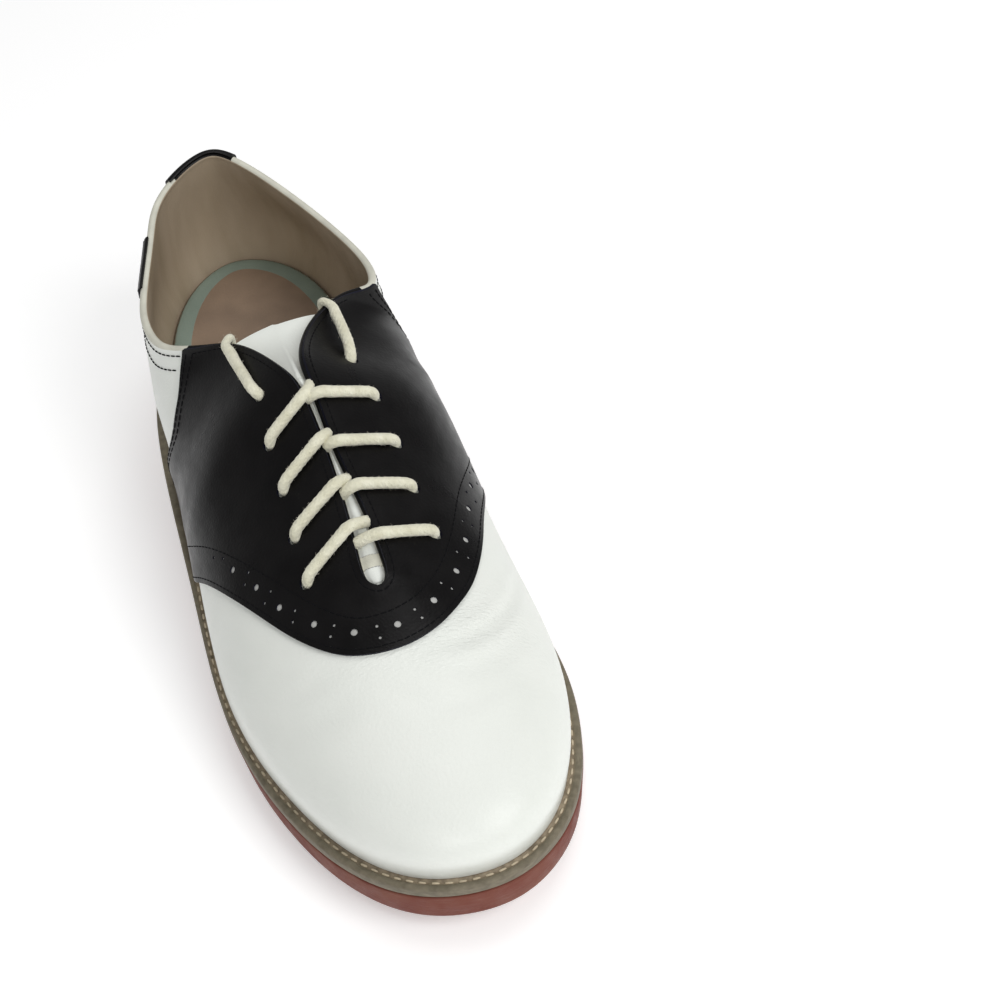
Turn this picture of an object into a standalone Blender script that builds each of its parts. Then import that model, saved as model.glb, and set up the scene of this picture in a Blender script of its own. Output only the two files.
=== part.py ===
"""A saddle shoe for the right foot: white upper, black saddle, cord lace, welt and brick-red rubber sole.

Metres. The toe points to -Y and the outer (lateral) side of the foot is at -X. The shoe stands on z = 0.
A place round the shoe is a ring number: 0 is the tip of the toe, 1 the back of the heel by the lateral side, and
2 the toe again by the medial side. The upper is one function, last_point(ring, rise), of ribs that run from the
feather line, where the upper meets the welt, to the topline, which goes round the slot, facings and collar.
"""
import math

import bmesh
import bpy
import numpy as np

# Overall sizes
LENGTH = 0.280          # outsole, toe to heel
BALL_WIDTH = 0.103      # outsole, across the ball of the foot
INSTEP_HEIGHT = 0.070   # facings above the welt, at the top of the slot
HEEL_LIFT = 0.014       # height of the heel block
TOE_SPRING = 0.0075     # how far the tip of the outsole is off the ground

# Walls and clearances
SOLE_THICKNESS = 0.0105
WELT_THICKNESS = 0.0035
WELT_SHOWS = 0.0037     # width of welt outside the upper, at the toe
WALL = 0.0022           # upper: outside leather and lining together
SADDLE_THICKNESS = 0.0012
TONGUE_THICKNESS = 0.0018
TONGUE_WIDTH = 0.034
TONGUE_LENGTH = 0.033   # beyond the top of the slot
TONGUE_DROP = 0.0032    # how far its middle sinks to its free end
TONGUE_ARCH = 0.0075    # how far its sides hang below its middle, at the top of the slot
INSOLE_PROUD = 0.0016   # insole above the top of the welt, at the toe
HEEL_PAD = 0.0050       # how much thicker the insole is under the heel
GAP = 0.0003            # between pieces that meet
SOLE_EDGE = 0.0010      # rounding of the rubber's edges
SOLE_TAPER = 0.0008     # how far the sole's side leans in at the ground
HEEL_LENGTH = 0.074
EYELET_DIAMETER = 0.0042
LACE_DIAMETER = 0.0038

# Mesh steps
SIDE_STEPS = 38         # ribs on each side of the upper
RISE_STEPS = 10         # from feather to topline
KNIFE_STEPS = 46        # across the saddle
PLAN_STEPS = 32         # rungs across the sole, toe to heel
TONGUE_ROWS = 16
STRAND_POINTS = 8
END_POINTS = 14
ROUND_STEPS = 12

# Outline of the outsole. Along is from the heel (0) to the toe (1), across is a share of the ball width.
OUTLINE_LATERAL = [
    # along, across
    (1.000, 0.087),
    (0.985, -0.094),
    (0.935, -0.243),
    (0.855, -0.357),
    (0.750, -0.438),
    (0.640, -0.464),
    (0.500, -0.452),
    (0.360, -0.436),
    (0.240, -0.402),
    (0.120, -0.318),
    (0.035, -0.180),
]
OUTLINE_MEDIAL = [
    (0.000, 0.000),
    (0.030, 0.180),
    (0.110, 0.302),
    (0.220, 0.345),
    (0.360, 0.368),
    (0.500, 0.402),
    (0.620, 0.448),
    (0.740, 0.490),
    (0.840, 0.461),
    (0.930, 0.365),
    (0.982, 0.232),
]

# Underside of the outsole: heel_share is of the heel lift, toe_share is of the toe spring.
UNDERSIDE = [
    # along, heel_share, toe_share
    (0.00, 1.00, 0.00),
    (0.26, 1.00, 0.00),
    (0.34, 0.83, 0.00),
    (0.45, 0.38, 0.00),
    (0.55, 0.08, 0.00),
    (0.63, 0.00, 0.00),
    (0.75, 0.00, 0.00),
    (0.85, 0.00, 0.20),
    (0.93, 0.00, 0.55),
    (1.00, 0.00, 1.00),
]

# Topline, front of the slot to the back of the heel. Height is a share of the instep height above the welt.
TOPLINE_LATERAL = [
    # along, across, height
    (0.7320, 0.032, 0.674),
    (0.7250, 0.008, 0.688),
    (0.7080, 0.003, 0.715),
    (0.6700, 0.012, 0.774),
    (0.6250, 0.018, 0.836),
    (0.5780, 0.018, 0.893),
    (0.5350, 0.012, 0.948),
    (0.5030, -0.003, 0.983),
    (0.4700, -0.034, 0.960),
    (0.4250, -0.080, 0.885),
    (0.3860, -0.142, 0.800),
    (0.3600, -0.218, 0.722),
    (0.3370, -0.294, 0.668),
    (0.3080, -0.343, 0.620),
    (0.2640, -0.361, 0.592),
    (0.2140, -0.344, 0.592),
    (0.1250, -0.269, 0.648),
    (0.0640, -0.190, 0.712),
]
TOPLINE_MEDIAL = [
    (0.0245, -0.008, 0.773),
    (0.0430, 0.088, 0.756),
    (0.1300, 0.229, 0.686),
    (0.1960, 0.306, 0.650),
    (0.2640, 0.354, 0.650),
    (0.3110, 0.359, 0.676),
    (0.3370, 0.325, 0.706),
    (0.3490, 0.242, 0.742),
    (0.3890, 0.136, 0.832),
    (0.4340, 0.068, 0.915),
    (0.4780, 0.036, 0.975),
    (0.5180, 0.035, 0.972),
    (0.5720, 0.038, 0.902),
    (0.6250, 0.050, 0.836),
    (0.6700, 0.061, 0.774),
    (0.7080, 0.063, 0.715),
    (0.7260, 0.056, 0.686),
]

# Ribs of the upper. Foot and top are shares of the way round the feather line and the topline. Welt is a share of
# the welt's showing width, bulge of the ball width, and girth (where the rib is widest) of the rib's height. Lift
# and reach, the curve's two handles, are shares of the straight way from there to the topline, and arrive is the
# slope there in degrees.
RIBS_LATERAL = [
    # foot, top, welt, bulge, girth, lift, reach, arrive
    (0.00, 0.000, 1.00, 0.010, 0.19, 0.18, 0.44, 30),
    (0.12, 0.007, 1.00, 0.010, 0.19, 0.19, 0.42, 28),
    (0.22, 0.018, 0.95, 0.008, 0.19, 0.22, 0.40, 24),
    (0.30, 0.050, 0.75, 0.002, 0.19, 0.26, 0.38, 21),
    (0.37, 0.120, 0.60, -0.004, 0.19, 0.28, 0.36, 20),
    (0.44, 0.210, 0.65, -0.008, 0.20, 0.30, 0.34, 22),
    (0.50, 0.305, 0.80, -0.012, 0.22, 0.34, 0.32, 30),
    (0.56, 0.400, 1.00, -0.012, 0.26, 0.38, 0.30, 46),
    (0.66, 0.560, 1.20, 0.006, 0.40, 0.36, 0.30, 80),
    (0.75, 0.680, 1.20, 0.020, 0.45, 0.35, 0.33, 92),
    (0.85, 0.800, 0.95, 0.020, 0.42, 0.33, 0.33, 86),
    (0.93, 0.905, 0.80, 0.018, 0.42, 0.33, 0.33, 80),
    (1.00, 1.000, 0.75, 0.018, 0.42, 0.33, 0.33, 78),
]
RIBS_MEDIAL = [
    (0.00, 0.000, 1.00, 0.010, 0.19, 0.18, 0.44, 30),
    (0.12, 0.007, 1.00, 0.010, 0.19, 0.19, 0.42, 28),
    (0.22, 0.018, 1.00, 0.010, 0.19, 0.22, 0.40, 24),
    (0.30, 0.050, 0.95, 0.010, 0.20, 0.27, 0.38, 21),
    (0.37, 0.120, 0.85, 0.020, 0.23, 0.32, 0.36, 20),
    (0.44, 0.210, 0.80, 0.040, 0.28, 0.38, 0.34, 24),
    (0.50, 0.305, 0.75, 0.050, 0.34, 0.42, 0.32, 34),
    (0.56, 0.400, 0.75, 0.056, 0.40, 0.46, 0.30, 54),
    (0.66, 0.560, 0.75, 0.056, 0.46, 0.42, 0.32, 74),
    (0.75, 0.680, 0.80, 0.044, 0.46, 0.36, 0.33, 88),
    (0.85, 0.800, 0.80, 0.028, 0.42, 0.33, 0.33, 84),
    (0.93, 0.905, 0.75, 0.021, 0.42, 0.33, 0.33, 80),
    (1.00, 1.000, 0.75, 0.018, 0.42, 0.33, 0.33, 78),
]

# Edges of the saddle. Places are ring numbers, negative on the lateral side and positive on the medial one, counted
# from the toe, and rise goes up the rib. The front edge crosses the vamp ahead of the slot.
SADDLE_FRONT = [
    # place, rise
    (-0.560, 0.000),
    (-0.520, 0.090),
    (-0.480, 0.220),
    (-0.440, 0.335),
    (-0.393, 0.450),
    (-0.340, 0.545),
    (-0.270, 0.645),
    (-0.177, 0.720),
    (-0.112, 0.765),
    (-0.035, 0.800),
    (0.050, 0.795),
    (0.152, 0.750),
    (0.238, 0.675),
    (0.300, 0.585),
    (0.355, 0.475),
    (0.405, 0.365),
    (0.450, 0.250),
    (0.490, 0.130),
    (0.530, 0.000),
]
SADDLE_BACK = [
    # rise, lateral place, medial place
    (0.00, -0.665, 0.650),
    (0.50, -0.640, 0.640),
    (1.00, -0.647, 0.650),
]
SADDLE_FOOT = 0.020     # rise of the saddle's lower edge
KNIFE_OVER = 0.0006     # how far the saddle's cutting form reaches past the topline
FOOT_OVER = 0.0020      # how far the upper's foot runs down before it's trimmed

# Eyelets, top pair first: ring number and rise of the hole on each side.
EYELETS = [
    # lateral place, rise, medial place, rise
    (0.508, 0.875, 0.530, 0.810),
    (0.467, 0.820, 0.485, 0.775),
    (0.422, 0.805, 0.438, 0.757),
    (0.372, 0.785, 0.385, 0.765),
    (0.320, 0.770, 0.330, 0.745),
]
# Where each strand ends over the slot: share along the topline from the front of the slot.
CROSSINGS = [
    # lateral strand's end, medial strand's end
    (0.290, 0.272),
    (0.217, 0.198),
    (0.147, 0.128),
    (0.085, 0.063),
]
# Lace ends: each runs from its top eyelet to this ring number on the topline, and over it into the shoe. The tail
# gives metres from there: across to the medial side, along to the heel, and above.
END_OVER = [0.590, 0.605]   # lateral, medial
LACE_TAIL = [
    (0.0002, 0.0056, 0.0030),
    (0.0004, 0.0096, -0.0012),
    (0.0006, 0.0112, -0.0075),
]
RIB_LEAN = 0.020        # how strongly a short rib's top turns to the foot line's own outward direction


def natural_spline(places, values):
    """A smooth curve (natural cubic) through values at places, as a function."""
    x = np.array(places, float)
    y = np.array(values, float)
    count = len(x)
    step = np.diff(x)
    matrix = np.eye(count)
    right = np.zeros_like(y)
    for i in range(1, count - 1):
        matrix[i, i - 1:i + 2] = step[i - 1], 2 * (step[i - 1] + step[i]), step[i]
        right[i] = 6 * ((y[i + 1] - y[i]) / step[i] - (y[i] - y[i - 1]) / step[i - 1])
    bend = np.linalg.solve(matrix, right)

    def curve(at):
        at = np.clip(np.asarray(at, float), x[0], x[-1])
        i = np.clip(np.searchsorted(x, at, side="right") - 1, 0, count - 2)
        h = step[i]
        before = at - x[i]
        after = x[i + 1] - at
        if y.ndim > 1:
            h, before, after = h[..., None], before[..., None], after[..., None]
        cubic = (bend[i] * after**3 + bend[i + 1] * before**3) / (6 * h)
        line = (y[i] / h - bend[i] * h / 6) * after + (y[i + 1] / h - bend[i + 1] * h / 6) * before
        return cubic + line

    return curve


def level_spline(places, values):
    """A smooth curve that stays level between equal values and never overshoots (monotone cubic)."""
    x = np.array(places, float)
    y = np.array(values, float)
    step = np.diff(x)
    slope = np.diff(y) / step
    lean = np.zeros_like(y)
    same_way = slope[:-1] * slope[1:] > 0
    lean[1:-1][same_way] = 2 / (1 / slope[:-1][same_way] + 1 / slope[1:][same_way])
    lean[0], lean[-1] = slope[0], slope[-1]

    def curve(at):
        at = np.clip(np.asarray(at, float), x[0], x[-1])
        i = np.clip(np.searchsorted(x, at, side="right") - 1, 0, len(x) - 2)
        t = (at - x[i]) / step[i]
        ends = (1 + 2 * t) * (1 - t)**2 * y[i] + t * t * (3 - 2 * t) * y[i + 1]
        return ends + step[i] * (t * (1 - t)**2 * lean[i] - t * t * (1 - t) * lean[i + 1])

    return curve


class Loop:
    """A closed smooth curve through a lateral list (front to back) and a medial list (back to front)."""

    SAMPLES = 1200

    def __init__(self, lateral, medial):
        points = np.array(list(lateral) + list(medial), float)
        count = len(points)
        laps = np.vstack([points] * 3 + [points[:1]])
        chord = np.sqrt(np.linalg.norm(np.diff(laps, axis=0), axis=1))
        knots = np.concatenate([[0], np.cumsum(chord)])
        curve = natural_spline(knots, laps)
        stops = knots[count], knots[count + len(lateral)], knots[2 * count]
        places, way = [], []
        for side in (0, 1):
            part = curve(np.linspace(stops[side], stops[side + 1], self.SAMPLES))
            length = np.concatenate([[0], np.cumsum(np.linalg.norm(np.diff(part, axis=0), axis=1))])
            places.append(side + length / length[-1])
            way.append(part)
        self.places = np.concatenate([places[0], places[1][1:]])
        self.way = np.concatenate([way[0], way[1][1:]])

    def at(self, ring):
        ring = np.mod(np.asarray(ring, float), 2)
        return np.stack([np.interp(ring, self.places, column) for column in self.way.T], -1)

    def middle(self):
        return (self.way.min(axis=0) + self.way.max(axis=0)) / 2


def plan_rows(rows, middle):
    return [(across * BALL_WIDTH - middle[0], LENGTH * (0.5 - along) - middle[1]) for along, across in rows]


def outline_loop(middle):
    return Loop(plan_rows(OUTLINE_LATERAL, middle), plan_rows(OUTLINE_MEDIAL, middle))


MIDDLE = outline_loop((0, 0)).middle()
OUTLINE = outline_loop(MIDDLE)
heel_share = level_spline([row[0] for row in UNDERSIDE], [row[1] for row in UNDERSIDE])
toe_share = level_spline([row[0] for row in UNDERSIDE], [row[2] for row in UNDERSIDE])


def underside(y):
    """Height of the outsole's underside."""
    along = 0.5 - (np.asarray(y, float) + MIDDLE[1]) / LENGTH
    return HEEL_LIFT * heel_share(along) + TOE_SPRING * toe_share(along)


def sole_top(y):
    return underside(y) + SOLE_THICKNESS


def welt_top(y):
    return sole_top(y) + GAP + WELT_THICKNESS


def topline_rows(rows):
    placed = []
    for along, across, height in rows:
        y = LENGTH * (0.5 - along) - MIDDLE[1]
        placed.append((across * BALL_WIDTH - MIDDLE[0], y, welt_top(y) + height * INSTEP_HEIGHT))
    return placed


def rib_curve():
    """The ribs' table as one smooth curve of the ring number, with the topline's share as a ring number too."""
    rows = [list(row) for row in RIBS_LATERAL]
    rows += [[2 - row[0], 2 - row[1]] + list(row[2:]) for row in RIBS_MEDIAL[-2:0:-1]]
    laps = []
    for lap in (-2, 0, 2):
        laps += [[row[0] + lap, row[1] + lap] + row[2:] for row in rows]
    return natural_spline([row[0] for row in laps], [row[1:] for row in laps])


TOPLINE = Loop(topline_rows(TOPLINE_LATERAL), topline_rows(TOPLINE_MEDIAL))
RIB = rib_curve()
UP = np.array([0.0, 0.0, 1.0])


def outward(ring):
    """The outline's outward direction in plan, as a vector with no height."""
    step = 0.002
    tangent = OUTLINE.at(np.asarray(ring, float) + step) - OUTLINE.at(np.asarray(ring, float) - step)
    tangent = tangent / np.linalg.norm(tangent, axis=-1)[..., None]
    return np.stack([-tangent[..., 1], tangent[..., 0], np.zeros(tangent.shape[:-1])], -1)


def welt_shows(ring):
    return RIB(np.mod(ring, 2))[..., 1] * WELT_SHOWS


def plan_point(ring, inset):
    """The outline moved in by an inset, as points with no height."""
    point = OUTLINE.at(ring)
    point = np.concatenate([point, np.zeros(point.shape[:-1] + (1,))], -1)
    return point - outward(ring) * np.broadcast_to(inset, point.shape[:-1])[..., None]


def bezier(a, b, c, d, t):
    return (1 - t)**3 * a + 3 * t * (1 - t)**2 * b + 3 * t**2 * (1 - t) * c + t**3 * d


def rib_shape(ring):
    """The control points of a rib: foot, widest point and topline, with the curve's handles."""
    top, welt, bulge, girth, lift, reach, arrive = np.moveaxis(RIB(np.mod(ring, 2)), -1, 0)[..., None]
    out = outward(ring)
    start = plan_point(ring, welt[..., 0] * WELT_SHOWS)
    start = start + UP * (welt_top(start[..., 1]) + GAP)[..., None]
    end = TOPLINE.at(top[..., 0])
    height = (end[..., 2:] - start[..., 2:]) * girth
    swell = out * bulge * BALL_WIDTH
    widest = start + swell + UP * height
    low_a = start + UP * height * 0.4
    low_b = widest - UP * height * 0.4
    straight = np.linalg.norm(end - widest, axis=-1)[..., None]
    aim = (widest - end) * np.array([1, 1, 0]) + out * RIB_LEAN
    aim = aim / np.linalg.norm(aim, axis=-1)[..., None]
    slope = np.radians(arrive)
    high_a = widest + UP * lift * straight
    high_b = end + (aim * np.cos(slope) - UP * np.sin(slope)) * reach * straight
    return start, low_a, low_b, widest, high_a, high_b, end


RIB_SAMPLES = 49
LOW_SHARE = 0.25        # of a rib's samples, those below its widest point


def last_point(ring, rise):
    """A point of the upper's outside; rise goes from the feather line (0) to the topline (1) along the rib."""
    ring, rise = np.broadcast_arrays(np.asarray(ring, float), np.asarray(rise, float))
    start, low_a, low_b, widest, high_a, high_b, end = rib_shape(ring)
    way = []
    for t in np.linspace(0, 1, RIB_SAMPLES):
        if t < LOW_SHARE:
            way.append(bezier(start, low_a, low_b, widest, t / LOW_SHARE))
        else:
            way.append(bezier(widest, high_a, high_b, end, (t - LOW_SHARE) / (1 - LOW_SHARE)))
    way = np.array(way)
    steps = np.linalg.norm(np.diff(way, axis=0), axis=-1)
    length = np.concatenate([np.zeros((1,) + ring.shape), np.cumsum(steps, axis=0)])
    where = rise * length[-1]
    before = np.clip((length <= where).sum(axis=0) - 1, 0, RIB_SAMPLES - 2)[None]
    so_far = np.take_along_axis(length, before, 0)[0]
    share = (where - so_far) / np.take_along_axis(steps, before, 0)[0]
    a = np.take_along_axis(way, before[..., None], 0)[0]
    b = np.take_along_axis(way, before[..., None] + 1, 0)[0]
    return a + (b - a) * share[..., None]


def last_normal(ring, rise):
    """The outward normal of the upper's outside."""
    ring, rise = np.broadcast_arrays(np.asarray(ring, float), np.asarray(rise, float))
    step = 0.005
    low = np.maximum(rise - step, 0)
    high = np.minimum(rise + step, 1)
    along = last_point(ring + step, rise) - last_point(ring - step, rise)
    up = last_point(ring, high) - last_point(ring, low)
    normal = np.cross(up, along)
    return normal / np.linalg.norm(normal, axis=-1)[..., None]


def lifted(ring, rise, height):
    """A point at a height over the upper's outside, or under it where the height is negative."""
    return last_point(ring, rise) + last_normal(ring, rise) * np.asarray(height, float)[..., None]


def rib_places():
    """Ring numbers of the upper's ribs, closer together where the topline turns."""
    places = np.linspace(0, 1, 400)
    sides = []
    for ring in (places, 2 - places):
        top = RIB(ring)[..., 0]
        top = top if ring[0] == 0 else 2 - top
        measure = 0.65 * places + 0.35 * top
        sides.append(np.interp(np.linspace(0, 1, SIDE_STEPS + 1), measure, places))
    return np.concatenate([sides[0], 2 - sides[1][-2:0:-1]])


# Building in Blender


def collection(name):
    group = bpy.data.collections.new(name)
    bpy.context.scene.collection.children.link(group)
    return group


def finish(name, color, roughness):
    made = bpy.data.materials.new(name)
    made.use_nodes = True
    shader = made.node_tree.nodes["Principled BSDF"]
    shader.inputs["Base Color"].default_value = (*color, 1)
    shader.inputs["Roughness"].default_value = roughness
    return made


for old in list(bpy.data.objects):
    bpy.data.objects.remove(old, do_unlink=True)
PARTS = collection("saddle_shoe")
CUTTERS = collection("cutters")
WHITE_LEATHER = finish("white_leather", (0.80, 0.80, 0.76), 0.45)
BLACK_LEATHER = finish("black_leather", (0.012, 0.012, 0.015), 0.35)
RUBBER = finish("brick_rubber", (0.33, 0.10, 0.07), 0.65)
WELTING = finish("taupe_welt", (0.25, 0.21, 0.14), 0.60)
SOCK = finish("tan_sock", (0.40, 0.29, 0.20), 0.70)
COTTON = finish("cream_cotton", (0.72, 0.68, 0.55), 0.85)


def add_mesh(name, points, faces, look, group=PARTS):
    """A mesh object from rows of points and faces, with doubles merged and normals outward."""
    mesh = bpy.data.meshes.new(name)
    work = bmesh.new()
    vertices = [work.verts.new(tuple(point)) for point in points]
    for face in faces:
        work.faces.new([vertices[i] for i in face])
    bmesh.ops.remove_doubles(work, verts=work.verts, dist=1e-6)
    bmesh.ops.dissolve_degenerate(work, edges=work.edges, dist=1e-7)
    work.to_mesh(mesh)
    work.free()
    made = bpy.data.objects.new(name, mesh)
    group.objects.link(made)
    if look:
        mesh.materials.append(look)
    return made


def grid_faces(rows, columns, closed_rows=False, closed_columns=False):
    """Quads between neighbours in a grid whose points are listed row by row."""
    faces = []
    for i in range(rows if closed_rows else rows - 1):
        for j in range(columns if closed_columns else columns - 1):
            below = (i + 1) % rows * columns
            right = (j + 1) % columns
            faces.append((i * columns + j, below + j, below + right, i * columns + right))
    return faces


def add_modifier(piece, kind, **values):
    modifier = piece.modifiers.new(kind.lower(), kind)
    for key, value in values.items():
        setattr(modifier, key, value)
    return modifier


def thicken(piece, thickness, way):
    """Solidify from the open surface, outward for way 1 and inward for way -1."""
    add_modifier(piece, "SOLIDIFY", thickness=thickness, offset=way, use_even_offset=True, use_quality_normals=True)


def cut(piece, cutter, operation="DIFFERENCE"):
    add_modifier(piece, "BOOLEAN", operation=operation, object=cutter, solver="EXACT")


def hide_cutter(piece):
    piece.hide_render = True
    piece.display_type = "WIRE"


def apply_modifiers(piece):
    """Keeps the evaluated shape as the object's own mesh."""
    seen = piece.evaluated_get(bpy.context.evaluated_depsgraph_get())
    mesh = bpy.data.meshes.new_from_object(seen)
    piece.modifiers.clear()
    piece.data = mesh


def shade(piece):
    piece.data.shade_smooth()
    piece.data.set_sharp_from_angle(angle=math.radians(35))


# Sole, welt and insole


def rungs(first=0.0):
    """Shares from front to back for the rungs of a plan, closer together at the tips."""
    return first + (1 - first) * (1 - np.cos(np.linspace(0, math.pi, PLAN_STEPS + 1))) / 2


def add_plan_solid(name, layers, look, first=0.0, group=PARTS):
    """A solid between level outlines: layers are (inset, height) functions of ring and y, from the bottom up."""
    share = rungs(first)
    ring = np.concatenate([share, 2 - share[::-1]])
    points = []
    for inset, height in layers:
        plan = plan_point(ring, inset(ring))
        points.extend(plan + UP * height(plan[:, 1])[:, None])
    around = len(ring)
    faces = []
    for layer in range(len(layers) - 1):
        base = layer * around
        for i in range(around):
            after = (i + 1) % around
            faces.append((base + i, base + around + i, base + around + after, base + after))
    top = (len(layers) - 1) * around
    for i in range(len(share) - 1):
        other = around - 1 - i
        faces.append((i, i + 1, other - 1, other))
        faces.append((top + i, top + other, top + other - 1, top + i + 1))
    piece = add_mesh(name, points, faces, look, group)
    shade(piece)
    return piece


def evenly(inset):
    return lambda ring: np.full(np.shape(ring), inset)


def add_outsole():
    return add_plan_solid("outsole", [
        (evenly(SOLE_TAPER + SOLE_EDGE), underside),
        (evenly(SOLE_TAPER), lambda y: underside(y) + SOLE_EDGE),
        (evenly(0), lambda y: sole_top(y) - SOLE_EDGE),
        (evenly(SOLE_EDGE), sole_top),
    ], RUBBER)


def add_heel():
    """The heel block under the back of the outsole, with a straight breast."""
    share = np.linspace(0, 1, 400)
    breast = OUTLINE.way[:, 1].max() - HEEL_LENGTH
    first = float(np.interp(breast, OUTLINE.at(share)[:, 1], share))
    return add_plan_solid("heel", [
        (evenly(SOLE_TAPER * 2 + SOLE_EDGE), lambda y: np.zeros_like(y)),
        (evenly(SOLE_TAPER * 2), lambda y: np.full_like(y, SOLE_EDGE)),
        (evenly(SOLE_TAPER), lambda y: underside(y) - GAP),
    ], RUBBER, first)


def add_welt():
    """A flat ring round the whole shoe, under the upper's edge."""
    ring = np.concatenate([rungs(), 2 - rungs()[-2:0:-1]])
    soft = SOLE_EDGE / 2
    low = GAP
    high = GAP + WELT_THICKNESS
    seat = welt_shows(ring) + WALL
    profile = [(soft, low), (0, low + soft), (0, high - soft), (soft, high), (seat, high), (seat, low)]
    points = []
    for inset, lift in profile:
        plan = plan_point(ring, inset)
        points.extend(plan + UP * (sole_top(plan[:, 1]) + lift)[:, None])
    faces = grid_faces(len(profile), len(ring), closed_rows=True, closed_columns=True)
    piece = add_mesh("welt", points, faces, WELTING)
    turn_outward(piece)
    shade(piece)


def turn_outward(piece):
    work = bmesh.new()
    work.from_mesh(piece.data)
    bmesh.ops.recalc_face_normals(work, faces=work.faces)
    work.to_mesh(piece.data)
    work.free()


def pad_height(y):
    """The insole's extra thickness: a pad under the heel that thins out to the ball of the foot."""
    along = 0.5 - (np.asarray(y, float) + MIDDLE[1]) / LENGTH
    share = np.clip((0.62 - along) / 0.34, 0, 1)
    return HEEL_PAD * share * share * (3 - 2 * share)


def add_insole():
    def edge(ring):
        return welt_shows(ring) + WALL + GAP * 2

    return add_plan_solid("insole", [
        (edge, lambda y: sole_top(y) + GAP),
        (edge, lambda y: welt_top(y)),
        (lambda ring: edge(ring) + GAP, lambda y: welt_top(y) + INSOLE_PROUD + pad_height(y)),
    ], SOCK)


# Upper and saddle


def upper_grid(height):
    """The upper's outside as an open ring of triangles, moved out by a height, its foot a little long."""
    ring = rib_places()[:, None]
    rise = np.linspace(0, 1, RISE_STEPS + 1)[None, :]
    points = lifted(ring, rise, height)
    points[:, 0] -= UP * FOOT_OVER
    triangles = []
    for a, b, c, d in grid_faces(ring.size, rise.size, closed_rows=True):
        triangles.extend([(a, d, c), (a, c, b)])
    return points.reshape(-1, 3), triangles


def eyelet_places():
    for lateral, lateral_rise, medial, medial_rise in EYELETS:
        yield lateral, lateral_rise
        yield 2 - medial, medial_rise


def add_eyelet_punches():
    """One cutter that joins the ten punches; they don't touch each other."""
    punches = []
    depth = 0.012
    for ring, rise in eyelet_places():
        middle = last_point(ring, rise)
        axis = last_normal(ring, rise)
        side = np.cross(axis, [0.0, 1.0, 0.0])
        side = side / np.linalg.norm(side)
        other = np.cross(axis, side)
        turn = 2 * math.pi * np.arange(ROUND_STEPS) / ROUND_STEPS
        circle = np.cos(turn)[:, None] * side + np.sin(turn)[:, None] * other
        for end in (-1, 1):
            punches.append(middle + circle * EYELET_DIAMETER / 2 + axis * depth / 2 * end)
    points = np.concatenate(punches)
    faces = []
    for punch in range(len(punches) // 2):
        base = punch * 2 * ROUND_STEPS
        low = [base + i for i in range(ROUND_STEPS)]
        high = [base + ROUND_STEPS + i for i in range(ROUND_STEPS)]
        faces.extend([low[::-1], high])
        for i in range(ROUND_STEPS):
            after = (i + 1) % ROUND_STEPS
            faces.append((low[i], low[after], high[after], high[i]))
    cutter = add_mesh("eyelet_punches", points, faces, None, CUTTERS)
    turn_outward(cutter)
    hide_cutter(cutter)
    return cutter


def add_seat():
    """The form that trims the upper's foot level with the welt's top."""
    seat = add_plan_solid("seat", [
        (evenly(-WALL), underside),
        (evenly(-WALL), lambda y: welt_top(y) + GAP),
    ], None, group=CUTTERS)
    hide_cutter(seat)
    return seat


def add_upper(punches):
    points, faces = upper_grid(0)
    upper = add_mesh("upper", points, faces, WHITE_LEATHER)
    thicken(upper, WALL, -1)
    cut(upper, add_seat())
    cut(upper, punches)
    apply_modifiers(upper)
    shade(upper)


def signed_ring(place):
    """Ring numbers from places that are negative on the lateral side and positive on the medial one."""
    return np.mod(-np.asarray(place, float), 2)


def add_saddle_knife():
    """The form that the saddle is cut with: its outline, thick enough to pass right through the saddle's shell."""
    back_rows = np.array(SADDLE_BACK)
    lateral_back = natural_spline(back_rows[:, 0], back_rows[:, 1])
    medial_back = natural_spline(back_rows[:, 0], back_rows[:, 2])
    front = natural_spline([row[0] for row in SADDLE_FRONT], [row[1] for row in SADDLE_FRONT])
    first, last = SADDLE_FRONT[0][0], SADDLE_FRONT[-1][0]
    columns = np.linspace(SADDLE_BACK[0][1], SADDLE_BACK[0][2], KNIFE_STEPS + 1)
    low = np.where((columns > first) & (columns < last), front(columns), 0)
    low = np.maximum(low, SADDLE_FOOT)
    share = (columns - columns[0]) / (columns[-1] - columns[0])
    rows = []
    for t in np.linspace(0, 1, RISE_STEPS + 1):
        rise = low + (1 - low) * t
        shift_lateral = (lateral_back(rise) - columns[0]) * (1 - share)**3
        shift_medial = (medial_back(rise) - columns[-1]) * share**3
        ring = signed_ring(columns + shift_lateral + shift_medial)
        rows.append((last_point(ring, rise), last_normal(ring, rise)))
    top, normal = rows[-1]
    along = top - rows[-2][0]
    beyond = top + along / np.linalg.norm(along, axis=1)[:, None] * KNIFE_OVER
    rows.append((beyond, normal))
    inner = np.array([point - across * WALL / 2 for point, across in rows])
    outer = np.array([point + across * (GAP + SADDLE_THICKNESS) * 2 for point, across in rows])
    points = np.concatenate([inner.reshape(-1, 3), outer.reshape(-1, 3)])
    count, width = inner.shape[:2]
    size = count * width
    sheet = grid_faces(count, width)
    faces = sheet + [tuple(size + i for i in face[::-1]) for face in sheet]
    rim = [(0, j) for j in range(width - 1)] + [(i, width - 1) for i in range(count - 1)]
    rim += [(count - 1, j) for j in range(width - 1, 0, -1)] + [(i, 0) for i in range(count - 1, 0, -1)]
    for k, (i, j) in enumerate(rim):
        after = rim[(k + 1) % len(rim)]
        a, b = i * width + j, after[0] * width + after[1]
        faces.append((a, b, size + b, size + a))
    knife = add_mesh("saddle_knife", points, faces, None, CUTTERS)
    turn_outward(knife)
    hide_cutter(knife)
    return knife


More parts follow.
